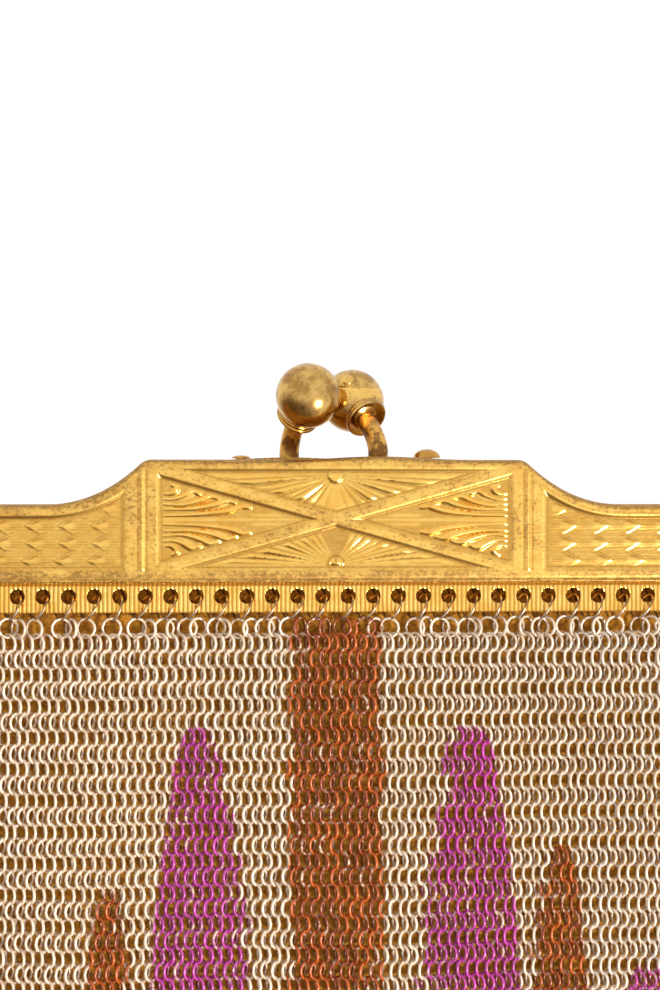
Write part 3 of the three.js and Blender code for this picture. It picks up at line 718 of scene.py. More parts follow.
def rail(name, turned, material):
    """A reeded strip: round-edged holes in square cells, and the plain part behind the frame."""
    form = Form()
    half_cell = HOLE_PITCH / 2
    low = RAIL_BOTTOM - HOLE_Z
    per_side = 7
    step = np.linspace(-1, 1, per_side, endpoint=False)
    square = [(t, -1) for t in step] + [(1, t) for t in step]
    square += [(-t, 1) for t in step] + [(-1, -t) for t in step]
    square = np.array(square) * [half_cell, -low]
    angles = np.arctan2(square[:, 1], square[:, 0])
    around = np.stack([np.cos(angles), np.sin(angles)], axis=-1)
    count = len(square)
    back = RAIL_FRONT - RAIL_THICKNESS
    rings = [
        (square, RAIL_FRONT),
        (around * (HOLE_RADIUS + 2 * HOLE_ROUND), RAIL_FRONT),
        (around * (HOLE_RADIUS + HOLE_ROUND), RAIL_FRONT),
        (around * (HOLE_RADIUS + 0.3 * HOLE_ROUND), RAIL_FRONT - 0.3 * HOLE_ROUND),
        (around * HOLE_RADIUS, RAIL_FRONT - HOLE_ROUND),
        (around * HOLE_RADIUS, back + HOLE_ROUND),
        (around * (HOLE_RADIUS + HOLE_ROUND), back),
        (square, back),
    ]
    faces = [grid(len(rings), count, closed_columns=True)[:, ::-1]]
    for x in HOLE_X:
        points = [
            np.column_stack([x + ring[:, 0], np.full(count, -depth), HOLE_Z + ring[:, 1]])
            for ring, depth in rings
        ]
        form.add(np.concatenate(points), faces, closed=False, turned=turned)
    cell_top = HOLE_Z - low
    holes_end = HOLE_COUNT * half_cell
    blocks = [
        (-RAIL_HALF, -holes_end, RAIL_BOTTOM, RAIL_TOP),
        (holes_end, RAIL_HALF, RAIL_BOTTOM, RAIL_TOP),
        (-holes_end, holes_end, cell_top, RAIL_TOP),
    ]
    for block in blocks:
        solid = prism(rectangle(*block), [], lambda a, b, c: (a, -c, b), back, RAIL_FRONT)
        form.add(*solid, turned=turned)
    edge = [(-holes_end, RAIL_BOTTOM), (holes_end, RAIL_BOTTOM)]
    points = [(x, -depth, z) for depth in (RAIL_FRONT, back) for x, z in edge]
    form.add(points, [[[0, 2, 3, 1]]], closed=False, turned=turned)
    piece(name + "_reeded", form, material, [name], sharp=35)


# Kiss lock


def ball_depth():
    apart = (2 * BALL_RADIUS + GAP) ** 2
    across = (FRONT_KNOB["across"] + BACK_KNOB["across"]) ** 2
    return math.sqrt(apart - across - (FRONT_KNOB["up"] - BACK_KNOB["up"]) ** 2) / 2


def ball_form(middle, rows, columns, seam):
    """A ball of two shells: the lower one is a little wider, and the seam is a groove."""
    lat = np.linspace(-math.pi / 2, math.pi / 2, rows)
    if seam < BALL_RADIUS:
        lat = np.sort(np.append(lat, math.asin(seam / BALL_RADIUS) + np.linspace(-0.05, 0.05, 8)))
    lat = lat[:, None]
    lon = (np.arange(columns) * 2 * math.pi / columns)[None, :]
    way = np.stack(np.broadcast_arrays(
        np.cos(lat) * np.cos(lon),
        np.cos(lat) * np.sin(lon),
        np.sin(lat) + 0 * lon,
    ), axis=-1)
    height = way[..., 2] * BALL_RADIUS
    lift = 0.07 * smooth(seam - height, -0.08, 0.08) - 0.09 * bell(height, seam + 0.1, 0.07)
    points = np.array(middle) + way * (BALL_RADIUS - 0.06 + lift)[..., None]
    below = seam - height
    bright = smooth(below, -0.05, 0.05) * smooth(1.9 - below, 0, 1)
    return points.reshape(-1, 3), [grid(len(lat), columns, closed_columns=True)], bright


def knob(name, sizes, turned, seam, spot, material):
    form = Form("bright", "stem")
    ball = np.array([sizes["across"], ball_depth(), sizes["up"]])
    foot = np.array([STEM_X, -STEM_DEPTH, FRAME_WALL])
    knee = np.array([STEM_X, -STEM_DEPTH, sizes["knee"]])
    share = np.linspace(0, 1, 26)[:, None]
    bend = (1 - share) ** 2 * foot + 2 * share * (1 - share) * knee + share**2 * ball
    below = [[STEM_X, -STEM_DEPTH, z] for z in (FOOT_TOP - 0.4, -0.6, 0.2)]
    path = np.concatenate([below, bend])
    radii = STEM_RADIUS * np.linspace(1.02, 0.96, len(path))
    radii[0] = 0.01
    points, faces = swept(path, radii, 28)
    form.add(points, faces, stem=np.ones(len(points)))
    axis = ball - knee
    axis = axis / np.linalg.norm(axis)
    start = ball - COLLAR_START * axis
    collar = [(0.9, 0.6), (1.5, 0.5), (1.9, 0.2)]
    for middle, wide in ((0.2, COLLAR_RADIUS - 0.2), (0.72, COLLAR_RADIUS - 0.24)):
        collar += arc((wide, middle), COLLAR_ROLL, COLLAR_ROLL, range(-75, 90, 30))
    collar += [(1.9, 1.15), (0.9, 1.2), (0.9, 0.6)]
    form.add(*turned_form(collar, 56, start, axis))
    points, faces, bright = ball_form(ball, 56, 96, seam)
    form.add(points, faces, bright=bright)
    if spot:
        way = np.array(Vector(spot).normalized())
        disc = [(0, -0.3), (0.84, -0.3), (0.84, -0.1), (0.72, -0.12)]
        disc += [(0.66, 0.0), (0.5, 0.08), (0, 0.12)]
        points, faces = turned_form(disc, 28, ball + BALL_RADIUS * way, way)
        form.add(points, faces, bright=np.full(len(points), 0.8))
    half = FOOT_WIDTH / 2
    plate = rectangle(STEM_X - half, RIVET_X + half, -STEM_DEPTH - half, -STEM_DEPTH + half)
    hole = circle((RIVET_X, -STEM_DEPTH), RIVET_SHANK + GAP, 20)
    form.add(*prism(plate, [hole], lambda a, b, c: (a, b, c), FOOT_TOP - FOOT_THICKNESS, FOOT_TOP))
    if turned:
        form.points = [points * [-1, -1, 1] for points in form.points]
    piece(name + "_ball_lock", form, material, [name], sharp=50)


def rivet(name, sizes, turned, material):
    form = Form()
    tail = FOOT_TOP - FOOT_THICKNESS - GAP
    outline = [(0, tail - 0.5), (1.0, tail - 0.5), (1.2, tail - 0.35), (1.2, tail)]
    outline += [(RIVET_SHANK, tail), (RIVET_SHANK, GAP), (sizes["dome"], GAP)]
    outline += arc((0, GAP), sizes["dome"], sizes["dome_height"], range(10, 91, 10))
    start = (RIVET_X, -STEM_DEPTH, 0)
    form.add(*turned_form(outline, 32, start, (0, 0, 1)), turned=turned)
    piece(name + "_dome", form, material, [name])


def hinge_pin(name, turned, material):
    form = Form()
    inner = INNER_EAR - GAP - PIN_HEAD_HEIGHT
    outer = HALF_WIDTH + GAP
    outline = [(0, inner), (PIN_HEAD_RADIUS - 0.1, inner), (PIN_HEAD_RADIUS, inner + 0.1)]
    outline += [(PIN_HEAD_RADIUS, inner + PIN_HEAD_HEIGHT), (PIN_RADIUS, inner + PIN_HEAD_HEIGHT)]
    outline += [(PIN_RADIUS, outer), (PIN_HEAD_RADIUS, outer)]
    outline += arc((0, outer), PIN_HEAD_RADIUS, PIN_HEAD_HEIGHT, range(15, 91, 15))
    form.add(*turned_form(outline, 28, (0, 0, HINGE_Z), (1, 0, 0)), turned=turned)
    piece(name + "_turned", form, material, [name])


# Soft bag


def bag_loop(z, inset, count):
    """One closed loop of the bag's surface at height z: the front first, left to right."""
    length = BAG_LENGTH - inset
    drop = np.clip((BAG_TOP - z) / length, 0, 1)
    section = {
        key: float(np.interp(drop, BAG_SECTIONS["drop"], BAG_SECTIONS[key])) for key in BAG_SECTIONS
    }
    width = section["width"] * BAG_HALF_WIDTH - inset
    depth = section["mouth"] * MOUTH_HALF_DEPTH + section["belly"] * BELLY_HALF_DEPTH - inset
    loops = []
    for face in (-1, 1):
        turn = np.arange(count) / count
        across = -END_GATHER * np.cos(math.pi * turn) + (1 - END_GATHER) * (2 * turn - 1)
        x = -face * across * width
        square = section["square"]
        swell = (1 - np.abs(across) ** square) ** (1 / square)
        wave = np.cos(math.pi * FOLD_COUNT * x / BAG_HALF_WIDTH + face)
        y = face * swell * (depth + section["fold"] * FOLD_DEPTH * wave)
        loops.append(np.column_stack([x, y, np.full(count, z)]))
    return np.concatenate(loops)


def places_round(z, inset, shares):
    """Points at even shares of the way round the bag, with the ways along it and out of it."""
    loop = bag_loop(z, inset, 160)
    ring = np.concatenate([loop, loop[:1]])
    steps = np.linalg.norm(np.diff(ring, axis=0), axis=1)
    way = np.concatenate([[0], np.cumsum(steps)])

    def at(share):
        far = share % 1 * way[-1]
        return np.stack([np.interp(far, way, ring[:, axis]) for axis in range(3)], axis=-1)

    place = at(shares)
    along = at(shares + 0.0015) - at(shares - 0.0015)
    along /= np.linalg.norm(along, axis=1)[:, None]
    out = np.stack([along[:, 1], -along[:, 0], np.zeros(len(along))], axis=-1)
    return place, along, out


def loops_form(form, places, first, second, radius, wire, sides, tube, seeds):
    """Wire loops: each ring's middle, its two in-plane half sizes as vectors, and its wire."""
    angle = np.arange(sides) * 2 * math.pi / sides
    turn = np.arange(tube) * 2 * math.pi / tube + math.pi / tube
    round_in = np.sin(angle)[None, :, None] * first[:, None]
    round_in = round_in + np.cos(angle)[None, :, None] * second[:, None]
    line = places[:, None] + radius * round_in
    unit = round_in / np.linalg.norm(round_in, axis=2)[..., None]
    normal = np.cross(first, second)
    normal /= np.linalg.norm(normal, axis=1)[:, None]
    outward = places * [0.01, 1, 0]
    outward /= np.linalg.norm(outward, axis=1)[:, None]
    points = (
        line[:, :, None]
        + wire * np.cos(turn)[None, None, :, None] * unit[:, :, None]
        + wire * np.sin(turn)[None, None, :, None] * normal[:, None, None]
    )
    faces = grid(sides, tube, closed_rows=True, closed_columns=True)
    one = points[0].reshape(-1, 3)
    if volume(one - one.mean(0), [faces]) < 0:
        faces = faces[:, ::-1]
    count = sides * tube
    many = faces[None] + (np.arange(len(places)) * count)[:, None, None]
    rub = np.abs(np.cos(angle)) ** 6
    # How far each stretch of wire faces out; the ring paint darkens the inward side by it as painted
    # shade
    out = np.clip(np.einsum("ijk,ik->ij", round_in, outward) * 1.2 + 0.5, 0, 1)
    form.add(
        points.reshape(-1, 3),
        [many.reshape(-1, 4)],
        closed=False,
        seed=np.repeat(seeds, count),
        rub=np.tile(np.repeat(rub, tube), len(places)),
        near=np.repeat(out.ravel(), tube),
    )


def rolled(flat, roll):
    """The two ways in a ring's plane, level and upright, turned in that plane by roll."""
    up = np.array([0, 0, 1.0])
    level, rise = np.cos(roll)[..., None], np.sin(roll)[..., None]
    return level * flat + rise * up, level * up - rise * flat


def ring_rows(rng):
    """Every ring below the first row: middle, ways, seed, row and whether it is at the front."""
    rows = []
    for row in range(1, ROW_COUNT):
        z = BAG_TOP - RING_RADIUS - ROW_DROP - row * ROW_PITCH
        share = (np.arange(RINGS_ROUND) + 0.5 * (row % 2)) / RINGS_ROUND
        count = len(share)
        share = share + rng.normal(0, ROW_STRAY, count) / RINGS_ROUND
        place, along, out = places_round(z, RING_INSET, share)
        place[:, 2] += rng.normal(0, ROW_STRAY, count)
        lean = 1 if row % 2 else -1
        loose = 2.2 if row == 1 else 1
        tilt = RING_TILT + rng.normal(0, 0.06 * loose, count)
        roll = rng.normal(0, 0.05 * loose, count)
        flat = np.cos(tilt)[:, None] * along + lean * np.sin(tilt)[:, None] * out
        first, second = rolled(flat, roll)
        front = np.arange(count) < count / 2
        rows.append((place, first, second, rng.random(count), np.full(count, row), front))
    return [np.concatenate(column) for column in zip(*rows)]


def first_row(rng, side):
    """The loose rings that hang in the jump rings: rounder, and turned every way."""
    places, firsts, seconds = [], [], []
    for x in HOLE_X:
        extras = [0.0, 1.25] if rng.random() < 0.62 else [0.0]
        for extra in extras:
            tilt = rng.uniform(0.1, 0.55) if extra == 0 else rng.uniform(0.6, 1.0)
            lean = rng.choice([-1.0, 1.0])
            roll = rng.normal(0, 0.12)
            flat = np.array([math.cos(tilt), -lean * math.sin(tilt), 0])
            first, second = rolled(flat, roll)
            z = BAG_TOP - RING_RADIUS - LOOSE_ROW_DROP + rng.normal(0, 0.06)
            depth = MOUTH_HALF_DEPTH - RING_INSET
            place = np.array([x - 0.95 + extra + rng.normal(0, 0.14), -depth, z])
            places.append(place)
            firsts.append(first)
            seconds.append(second)
    turn = np.array([side, side, 1.0])
    return [np.array(part) * turn for part in (places, firsts, seconds)]


def mesh_rings(material):
    """The mesh in five pieces: finest where the photo shows it. Two of them hold a loose top row."""
    rng = np.random.default_rng(7)
    place, first, second, seed, row, front = ring_rows(rng)
    seen = front & (row < SEEN_ROWS) & (np.abs(place[:, 0]) < SEEN_HALF)
    upper = row < ROW_COUNT / 2
    parts = {
        "mesh_rings_front": (seen, 12, 4, 1.0),
        "mesh_rings_front_sides": (front & ~seen & (row < FOOT_ROW), 7, 3, None),
        "mesh_rings_front_foot": (front & (row >= FOOT_ROW), 7, 3, None),
        "mesh_rings_back_upper": (~front & upper, 6, 3, -1.0),
        "mesh_rings_back_lower": (~front & ~upper, 6, 3, None),
    }
    for name, (mask, sides, tube, side) in parts.items():
        form = Form("seed", "rub", "near")
        if side:
            tops = first_row(rng, side)
            seeds = rng.random(len(tops[0]))
            loops_form(form, *tops, RING_RADIUS, RING_WIRE, max(sides, 10), tube, seeds)
        sizes = (RING_RADIUS, RING_WIRE, sides, tube, seed[mask])
        loops_form(form, place[mask], first[mask], second[mask], *sizes)
        piece(name, form, material, ["mesh_bag"], sharp=0)


def jump_rings(material):
    """One bare loop through each hole and round the rail's edge, leaning down to the left."""
    rng = np.random.default_rng(11)
    form = Form("seed", "rub", "near")
    for side in (1.0, -1.0):
        lean = JUMP_LEAN + rng.normal(0, 0.07, HOLE_COUNT)
        down = np.stack([-np.sin(lean), np.zeros(HOLE_COUNT), -np.cos(lean)], axis=-1)
        through = np.array(JUMP_THROUGH) + rng.normal(0, 0.05, (HOLE_COUNT, 3))
        depth = RAIL_FRONT - RAIL_THICKNESS / 2
        middle = np.array([[x - JUMP_SHIFT, -depth, JUMP_Z] for x in HOLE_X])
        middle[:, 0] += rng.normal(0, 0.06, HOLE_COUNT)
        turn = np.array([side, side, 1.0])
        parts = [middle * turn, JUMP_HALF_LENGTH * down * turn, through * turn * JUMP_HALF_WIDTH]
        loops_form(form, *parts, 1.0, JUMP_WIRE, 18, 6, rng.random(HOLE_COUNT))
    piece("jump_rings", form, material, ["mesh_bag"], sharp=0)


def lining(material):
    """A thin cloth bag with its foot sewn shut, in soft upright creases."""
    form = Form()
    heights = [BAG_TOP + LINING_RISE, BAG_TOP + 1.5, BAG_TOP]
    foot = BAG_TOP - (BAG_LENGTH - LINING_INSET - 0.4)
    heights += list(np.linspace(BAG_TOP, foot, 46)[1:])
    rows = []
    for z in heights:
        loop = bag_loop(min(z, BAG_TOP), LINING_INSET, 64)
        loop[:, 2] = z
        crease = CREASE_DEPTH * np.sin(loop[:, 0] * 0.55 + 0.04 * z)
        crease = crease * np.cos(loop[:, 0] * 0.21 - 0.02 * z)
        crease = crease * smooth(BAG_TOP - z, 0, CREASE_FADE) * smooth(z - foot, 0, CREASE_FADE)
        loop[:, 1] -= np.sign(loop[:, 1]) * np.abs(crease)
        rows.append(loop)
    last = rows[-1]
    for share in (0.6, 0.12):
        loop = last.copy()
        loop[:, 1] *= share
        loop[:, 2] = foot - 0.25 * (1 - share)
        rows.append(loop)
    count = len(rows[0])
    form.add(np.concatenate(rows), [grid(len(rows), count, closed_columns=True)], closed=False)
    made = piece("lining_cloth", form, material, ["lining"], sharp=0)


# Materials


class Graph:
    """Short ways to add and join the nodes of one material."""

    def __init__(self, name):
        self.material = bpy.data.materials.new(name)
        self.material.use_nodes = True
        self.tree = self.material.node_tree
        self.shader = self.tree.nodes["Principled BSDF"]
        places = self.tree.nodes.new("ShaderNodeTexCoord").outputs["Object"]
        self.mm = self.vector("SCALE", places, scale=1 / MM)

    def feed(self, socket, value):
        if isinstance(value, bpy.types.NodeSocket):
            self.tree.links.new(value, socket)
        else:
            socket.default_value = value

    def vector(self, operation, a, b=None, scale=None):
        node = self.tree.nodes.new("ShaderNodeVectorMath")
        node.operation = operation
        self.feed(node.inputs[0], a)
        if b is not None:
            self.feed(node.inputs[1], b)
        if scale is not None:
            node.inputs["Scale"].default_value = scale
        return node.outputs[0]

    def math(self, operation, a, b=0.0, clamp=False):
        node = self.tree.nodes.new("ShaderNodeMath")
        node.operation = operation
        node.use_clamp = clamp
        self.feed(node.inputs[0], a)
        self.feed(node.inputs[1], b)
        return node.outputs[0]

    def plus(self, a, b):
        return self.math("ADD", a, b)

    def minus(self, a, b):
        return self.math("SUBTRACT", a, b)

    def times(self, a, b):
        return self.math("MULTIPLY", a, b)

    def axes(self):
        node = self.tree.nodes.new("ShaderNodeSeparateXYZ")
        self.feed(node.inputs[0], self.mm)
        return node.outputs

    def attribute(self, name):
        node = self.tree.nodes.new("ShaderNodeAttribute")
        node.attribute_name = name
        return node.outputs["Fac"]

    def noise(self, scale, detail, stretch=(1, 1, 1), rough=0.5):
        node = self.tree.nodes.new("ShaderNodeTexNoise")
        self.feed(node.inputs["Vector"], self.vector("MULTIPLY", self.mm, stretch))
        node.inputs["Scale"].default_value = scale
        node.inputs["Detail"].default_value = detail
        node.inputs["Roughness"].default_value = rough
        return node.outputs[0]

    def ramp(self, value, low, high, to_low=0.0, to_high=1.0):
        node = self.tree.nodes.new("ShaderNodeMapRange")
        node.interpolation_type = "SMOOTHSTEP"
        inputs = (low, high, to_low, to_high)
        self.feed(node.inputs[0], value)
        for i in range(4):
            node.inputs[i + 1].default_value = inputs[i]
        return node.outputs[0]

    def mix(self, share, a, b):
        node = self.tree.nodes.new("ShaderNodeMix")
        node.data_type = "RGBA"
        self.feed(node.inputs[0], share)
        self.feed(node.inputs[6], (*a, 1) if isinstance(a, tuple) else a)
        self.feed(node.inputs[7], (*b, 1) if isinstance(b, tuple) else b)
        return node.outputs[2]

    def bump(self, height, depth_mm, strength):
        node = self.tree.nodes.new("ShaderNodeBump")
        node.inputs["Strength"].default_value = strength
        node.inputs["Distance"].default_value = depth_mm * MM
        self.feed(node.inputs["Height"], height)
        self.feed(self.shader.inputs["Normal"], node.outputs[0])

    def set(self, **values):
        for name, value in values.items():
            value = (*value, 1) if isinstance(value, tuple) else value
            self.feed(self.shader.inputs[name.replace("_", " ")], value)


def gilt_material():
    g = Graph("gilt_brass")
    plain = g.attribute("plain")
    crease = g.attribute("crease")
    cloud = g.noise(0.22, 3.0, (0.6, 1, 1))
    blotch = g.noise(0.75, 6.0, (0.6, 1, 1), 0.68)
    fine = g.noise(3.0, 5.0, (0.8, 1, 1), 0.7)
    brushed = g.noise(2.2, 4.0, (0.25, 1, 2), 0.6)
    worn = g.plus(g.times(cloud, 0.35), g.times(blotch, 0.3))
    worn = g.plus(worn, g.times(fine, 0.35))
    x, _, z = g.axes()
    # Painted shade: the flat face darkens towards the frame's lower edge
    foot = g.ramp(z, -13.0, -14.0, 0.0, 0.1)
    up = g.minus(z, PANEL_BOTTOM + SUN_OFFSET)
    wedge = g.minus(g.times(up, 0.44), g.math("ABSOLUTE", x))
    wedge = g.times(g.ramp(wedge, 0.0, 0.12), g.ramp(z, PANEL_MIDDLE, PANEL_MIDDLE - 0.6))
    # Worn is the flat face's patina, with painted shade added along the rounded top edge (rim) and
    # towards the foot
    worn = g.plus(worn, g.plus(g.times(g.attribute("rim"), 0.22), foot))
    worn = g.times(g.ramp(worn, 0.36, 0.66), plain)
    worn = g.math("MAXIMUM", worn, g.times(wedge, 0.8))
    gold = g.mix(g.ramp(blotch, 0.35, 0.65), (0.97, 0.615, 0.15), (0.9, 0.5, 0.1))
    aged = g.mix(g.ramp(brushed, 0.3, 0.7), (0.66, 0.37, 0.095), (0.38, 0.2, 0.05))
    colour = g.mix(g.times(worn, 0.9), gold, aged)
    speck = g.ramp(g.plus(fine, g.times(worn, 0.2)), 0.6, 0.76, 0.0, 0.55)
    speck = g.times(speck, g.plus(g.times(plain, 0.75), 0.25))
    colour = g.mix(speck, colour, (0.2, 0.105, 0.035))
    # Painted shade in the relief's hollows and grooves, carried by the crease attribute
    groove = g.times(crease, g.ramp(fine, 0.3, 0.6, 0.55, 1.0))
    colour = g.mix(groove, colour, (0.44, 0.2, 0.035))
    rough = g.plus(g.times(worn, 0.2), g.times(plain, 0.08))
    rough = g.plus(rough, g.times(fine, 0.1))
    g.set(Base_Color=colour, Metallic=1.0, Roughness=g.plus(rough, 0.13))
    g.bump(g.plus(fine, g.times(brushed, 0.6)), 0.02, 0.7)
    return g.material


def rail_material():
    g = Graph("rail_brass")
    x, _, z = g.axes()
    wave = g.plus(x, g.times(g.noise(0.6, 2.0), 0.12))
    reed = g.math("SINE", g.times(wave, 2 * math.pi / REED_PITCH))
    reed = g.plus(g.times(reed, 0.5), 0.5)
    fine = g.noise(2.2, 4.0, rough=0.6)
    cloud = g.noise(0.5, 4.0, rough=0.6)
    colour = g.mix(g.ramp(cloud, 0.35, 0.65), (1.0, 0.66, 0.19), (0.9, 0.5, 0.1))
    # Painted shade in the valleys between the reeds
    valley = g.ramp(reed, 0.5, 0.12, 0.0, 0.95)
    colour = g.mix(valley, colour, (0.6, 0.27, 0.04))
    spot = g.ramp(fine, 0.6, 0.72, 0.0, 0.7)
    colour = g.mix(spot, colour, (0.26, 0.12, 0.03))
    # Painted shadow under the frame's lower edge
    under = g.ramp(z, -15.32, -15.12, 0.0, 0.95)
    colour = g.mix(under, colour, (0.42, 0.16, 0.015))
    foot = g.ramp(z, RAIL_BOTTOM + 0.25, RAIL_BOTTOM + 0.05, 0.0, 0.6)
    colour = g.mix(foot, colour, (0.4, 0.15, 0.02))
    rough = g.plus(g.times(fine, 0.16), 0.16)
    g.set(Base_Color=colour, Metallic=1.0, Roughness=rough)
    g.bump(g.plus(reed, g.times(fine, 0.2)), 0.085, 0.9)
    return g.material


def aged_material():
    g = Graph("aged_brass")
    z = g.axes()[2]
    cloud = g.noise(0.5, 5.0, rough=0.62)
    fine = g.noise(2.6, 4.0, rough=0.65)
    brown = g.ramp(cloud, 0.38, 0.64)
    colour = g.mix(brown, (0.7, 0.44, 0.135), (0.38, 0.2, 0.055))
    stem = g.attribute("stem")
    mottled = g.mix(g.ramp(cloud, 0.44, 0.56), (0.72, 0.4, 0.09), (0.24, 0.11, 0.03))
    colour = g.mix(stem, colour, mottled)
    shaded = g.times(stem, g.ramp(z, 3.9, 5.0, 0.0, 0.75))
    colour = g.mix(shaded, colour, (0.2, 0.1, 0.035))
    # Darker orange-brown below z 6.2 mm, stems spared: painted shade on the ball's lower part and
    # the collar; on the low pieces in this brass, such as rivets and pins, it is their colour
    under = g.times(g.ramp(z, 6.2, 4.6), g.math("SUBTRACT", 0.7, stem, clamp=True))
    colour = g.mix(under, colour, (0.55, 0.26, 0.045))
    colour = g.mix(g.times(g.attribute("bright"), 0.7), colour, (0.95, 0.6, 0.16))
    spots = g.ramp(g.noise(1.1, 4.0, rough=0.75), 0.56, 0.7, 0.0, 0.85)
    colour = g.mix(spots, colour, (0.13, 0.065, 0.025))
    rough = g.plus(g.times(fine, 0.16), g.times(brown, 0.08))
    rough = g.plus(rough, g.times(stem, 0.24))
    g.set(Base_Color=colour, Metallic=1.0, Roughness=g.plus(rough, 0.07))
    g.bump(g.plus(fine, spots), 0.015, 0.5)
    return g.material


def wire_material():
    g = Graph("ring_wire")
    z = g.axes()[2]
    fine = g.noise(1.6, 3.0)
    # Brown above, turning pale silver below the rail: the silver is a painted highlight
    colour = g.mix(g.ramp(z, -17.7, -18.6), (0.36, 0.21, 0.09), (0.6, 0.5, 0.4))
    colour = g.mix(g.ramp(fine, 0.45, 0.75, 0.0, 0.6), colour, (0.22, 0.12, 0.05))
    # Painted light: the top of each loop, seen in its hole, is brightened to bright brass
    colour = g.mix(g.ramp(z, -17.0, -16.75), colour, (1.0, 0.66, 0.2))
    rough = g.plus(g.times(fine, 0.3), 0.16)
    g.set(Base_Color=colour, Metallic=1.0, Roughness=rough)
    return g.material


# Painted flames: middle as distance from the bag's middle, tip height and its rise to the right,
# half width at the tip, how it widens with the root of the depth, its widest half width, and paint
FLAMES = [
    (16.4, -32.0, 0.0, 1.0, 0.9, 6.9, "magenta"),
    (27.2, -49.0, 0.1, 0.7, 0.62, 3.6, "rust"),
    (38.0, -63.0, 0.05, 1.0, 0.85, 5.5, "magenta"),
]
FIRST_FLAME = FLAMES[0][0]
PATTERN_FOOT = -140.0
FOOT_RISE = 1.1
STRIPE_HALF = 5.4


def ring_material():
    g = Graph("painted_rings")
    x, _, z = g.axes()
    seed = g.attribute("seed")
    rub = g.attribute("rub")
    near = g.attribute("near")
    patch = g.noise(0.33, 3.0, rough=0.6)
    fine = g.noise(1.3, 3.0, rough=0.6)
    stray = g.minus(g.plus(seed, g.times(patch, 1.4)), 1.2)
    out = g.plus(g.math("ABSOLUTE", x), g.times(stray, 1.3))
    cream = g.mix(seed, (0.82, 0.69, 0.54), (0.68, 0.52, 0.36))
    left = g.ramp(x, 25, -40, 0.0, 0.35)
    cream = g.mix(left, cream, (0.95, 0.72, 0.5))
    cool = g.times(g.ramp(x, 22, 40), g.ramp(patch, 0.5, 0.68, 0.0, 0.55))
    cream = g.mix(cool, cream, (0.56, 0.58, 0.62))
    rust = g.mix(g.ramp(g.plus(seed, fine), 0.5, 1.3), (0.52, 0.1, 0.008), (0.24, 0.04, 0.006))
    magenta = g.mix(seed, (0.56, 0.055, 0.34), (0.34, 0.035, 0.22))
    worn = g.plus(g.times(seed, 0.5), g.times(fine, 0.8))
    worn = g.plus(worn, g.times(rub, 0.16))
    kept = g.ramp(worn, 0.98, 0.84)
    stripe = g.ramp(out, STRIPE_HALF + 0.15, STRIPE_HALF - 0.15)
    colour = g.mix(g.times(stripe, kept), cream, rust)
    for place, tip, rise, start, widens, most, paint in FLAMES:
        lift = g.plus(g.times(x, rise), tip)
        below = g.minus(lift, z)
        above = g.minus(z, PATTERN_FOOT + (place - FIRST_FLAME) * FOOT_RISE)
        deep = g.math("MINIMUM", below, above)
        root = g.math("POWER", g.math("MAXIMUM", deep, 0.0), 0.5)
        half = g.math("MINIMUM", g.plus(g.times(root, widens), start), most)
        away = g.math("ABSOLUTE", g.minus(out, place))
        ragged = g.plus(g.minus(half, away), g.times(stray, 0.9))
        on = g.ramp(ragged, -0.1, 0.25)
        on = g.times(on, g.ramp(g.plus(deep, stray), -0.3, 0.5))
        colour = g.mix(g.times(on, kept), colour, rust if paint == "rust" else magenta)
    grime = g.mix(0.6, colour, (0.25, 0.1, 0.04))
    colour = g.mix(g.ramp(fine, 0.4, 0.7, 0.0, 0.45), colour, grime)
    bare = g.ramp(g.plus(fine, g.times(rub, 0.12)), 0.64, 0.76, 0.0, 0.8)
    colour = g.mix(bare, colour, (0.34, 0.21, 0.1))
    # Painted shade: the far, inward side of each ring is darkened and browned, by the near attribute
    dim = g.mix(0.35, g.mix(0.3, colour, (0.0, 0.0, 0.0)), (0.4, 0.2, 0.06))
    colour = g.mix(g.ramp(near, 0.3, 0.04, 0.0, 0.8), colour, dim)
    g.set(Base_Color=colour, Metallic=0.15, Roughness=0.24, Specular_IOR_Level=0.8)
    g.bump(fine, 0.03, 0.4)
    return g.material


def lining_material():
    g = Graph("lining_cloth")
    x, _, z = g.axes()
    warp = g.math("SINE", g.times(x, 2 * math.pi / 0.34))
    weft = g.math("SINE", g.times(z, 2 * math.pi / 0.3))
    weave = g.times(warp, weft)
    slub = g.noise(2.4, 4.0, (1, 1, 1.6), 0.7)
    cloud = g.noise(0.12, 3.0)
    light = g.plus(g.times(weave, 0.16), slub)
    colour = g.mix(g.ramp(light, 0.3, 0.74), (0.13, 0.035, 0.003), (0.8, 0.36, 0.035))
    colour = g.mix(g.ramp(cloud, 0.4, 0.7, 0.0, 0.4), colour, (0.28, 0.1, 0.012))
    slant = g.plus(x, g.times(g.minus(z, BAG_TOP), 0.45))
    away = g.math("ABSOLUTE", g.math("SINE", g.times(slant, math.pi / HOLE_PITCH)))
    tick = g.times(g.ramp(away, 0.2, 0.1), g.ramp(z, BAG_TOP - 0.5, BAG_TOP - 0.1, 0.0, 0.85))
    colour = g.mix(tick, colour, (0.03, 0.012, 0.004))
    g.set(Base_Color=colour, Roughness=0.8, Specular_IOR_Level=0.15)
    g.bump(g.plus(weave, slub), 0.06, 0.8)
    return g.material


# Scene


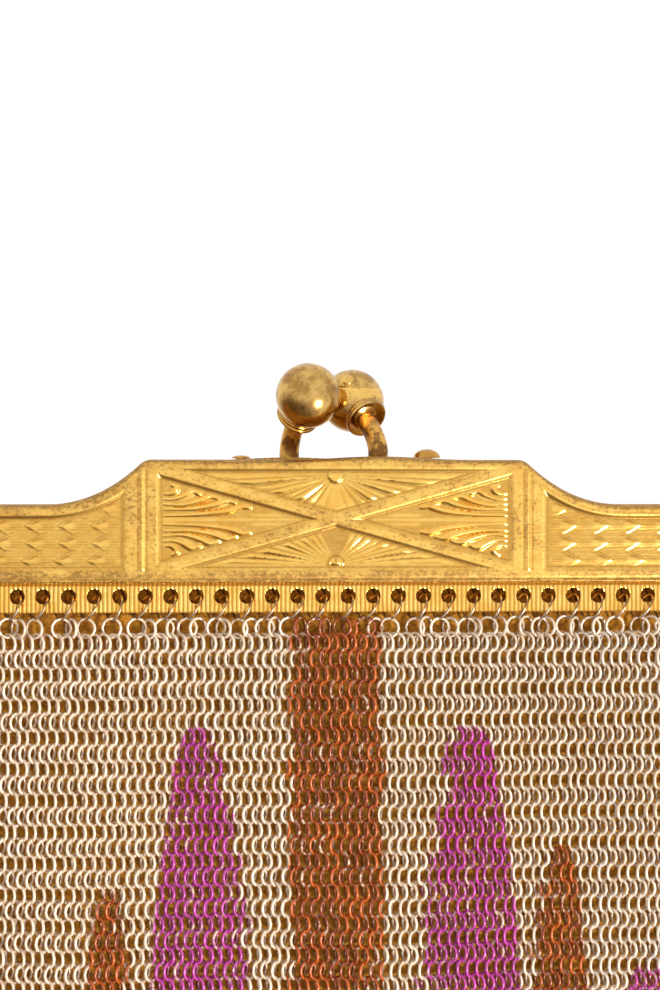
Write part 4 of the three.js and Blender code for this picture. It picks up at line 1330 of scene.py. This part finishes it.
def world_light():
    """White all round but for a dim brown from below and the left, so that the relief shows."""
    world = bpy.data.worlds.new("studio")
    bpy.context.scene.world = world
    world.use_nodes = True
    tree = world.node_tree
    back = tree.nodes["Background"]
    way = tree.nodes.new("ShaderNodeTexCoord").outputs["Generated"]
    dot = tree.nodes.new("ShaderNodeVectorMath")
    dot.operation = "DOT_PRODUCT"
    tree.links.new(way, dot.inputs[0])
    dot.inputs[1].default_value = (0.55, 0.0, 0.83)
    share = tree.nodes.new("ShaderNodeMapRange")
    share.interpolation_type = "SMOOTHSTEP"
    tree.links.new(dot.outputs["Value"], share.inputs[0])
    for i, value in enumerate((-0.9, -0.3, 0.0, 1.0)):
        share.inputs[i + 1].default_value = value
    mix = tree.nodes.new("ShaderNodeMix")
    mix.data_type = "RGBA"
    tree.links.new(share.outputs[0], mix.inputs[0])
    mix.inputs[6].default_value = (0.2, 0.15, 0.1, 1)
    mix.inputs[7].default_value = (1.0, 1.0, 1.0, 1)
    tree.links.new(mix.outputs[2], back.inputs["Color"])
    back.inputs["Strength"].default_value = 1.05


def area_light(name, place, size, power):
    target = (0, 0, -0.02)
    data = bpy.data.lights.new(name, "AREA")
    data.size = size
    data.energy = power
    lamp = bpy.data.objects.new(name, data)
    lamp.location = place
    lamp.rotation_mode = "QUATERNION"
    lamp.rotation_quaternion = (Vector(target) - Vector(place)).to_track_quat("-Z", "Y")
    bpy.context.scene.collection.objects.link(lamp)


def camera():
    """The photo shows 79.2 by 118.8 mm of the frame's face, seen from a little to the left."""
    away = CAMERA_AWAY * MM
    turn = math.radians(CAMERA_TURN)
    aim = Vector(CAMERA_AIM) * MM
    back = Vector((math.sin(turn), -math.cos(turn), 0))
    data = bpy.data.cameras.new("camera")
    data.sensor_width = SENSOR
    data.lens = SENSOR * away / (PHOTO_HEIGHT * MM)
    data.clip_start = 0.01
    data.clip_end = 20
    eye = bpy.data.objects.new("camera", data)
    eye.location = aim + back * away
    eye.rotation_mode = "QUATERNION"
    eye.rotation_quaternion = (-back).to_track_quat("-Z", "Y")
    bpy.context.scene.collection.objects.link(eye)
    bpy.context.scene.camera = eye


def build():
    gilt = gilt_material()
    rails = rail_material()
    aged = aged_material()
    rings = ring_material()
    frame_half("front_frame", 0.15, 0.34, 118, False, gilt)
    frame_half("back_frame", 0.3, 0.45, 48, True, gilt)
    rail("front_mesh_rail", False, rails)
    rail("back_mesh_rail", True, rails)
    knob("front_clasp_knob", FRONT_KNOB, False, 1.4, (-0.8, -2.9, 2.34), aged)
    knob("back_clasp_knob", BACK_KNOB, True, 9.0, None, aged)
    rivet("front_knob_rivet", FRONT_KNOB, False, aged)
    rivet("back_knob_rivet", BACK_KNOB, True, aged)
    hinge_pin("right_hinge_pin", False, aged)
    hinge_pin("left_hinge_pin", True, aged)
    mesh_rings(rings)
    jump_rings(wire_material())
    lining(lining_material())


build()
world_light()
area_light("key", (0.27, -0.34, -0.24), 0.11, 2.9)
camera()
bpy.context.scene.view_settings.view_transform = "Standard"
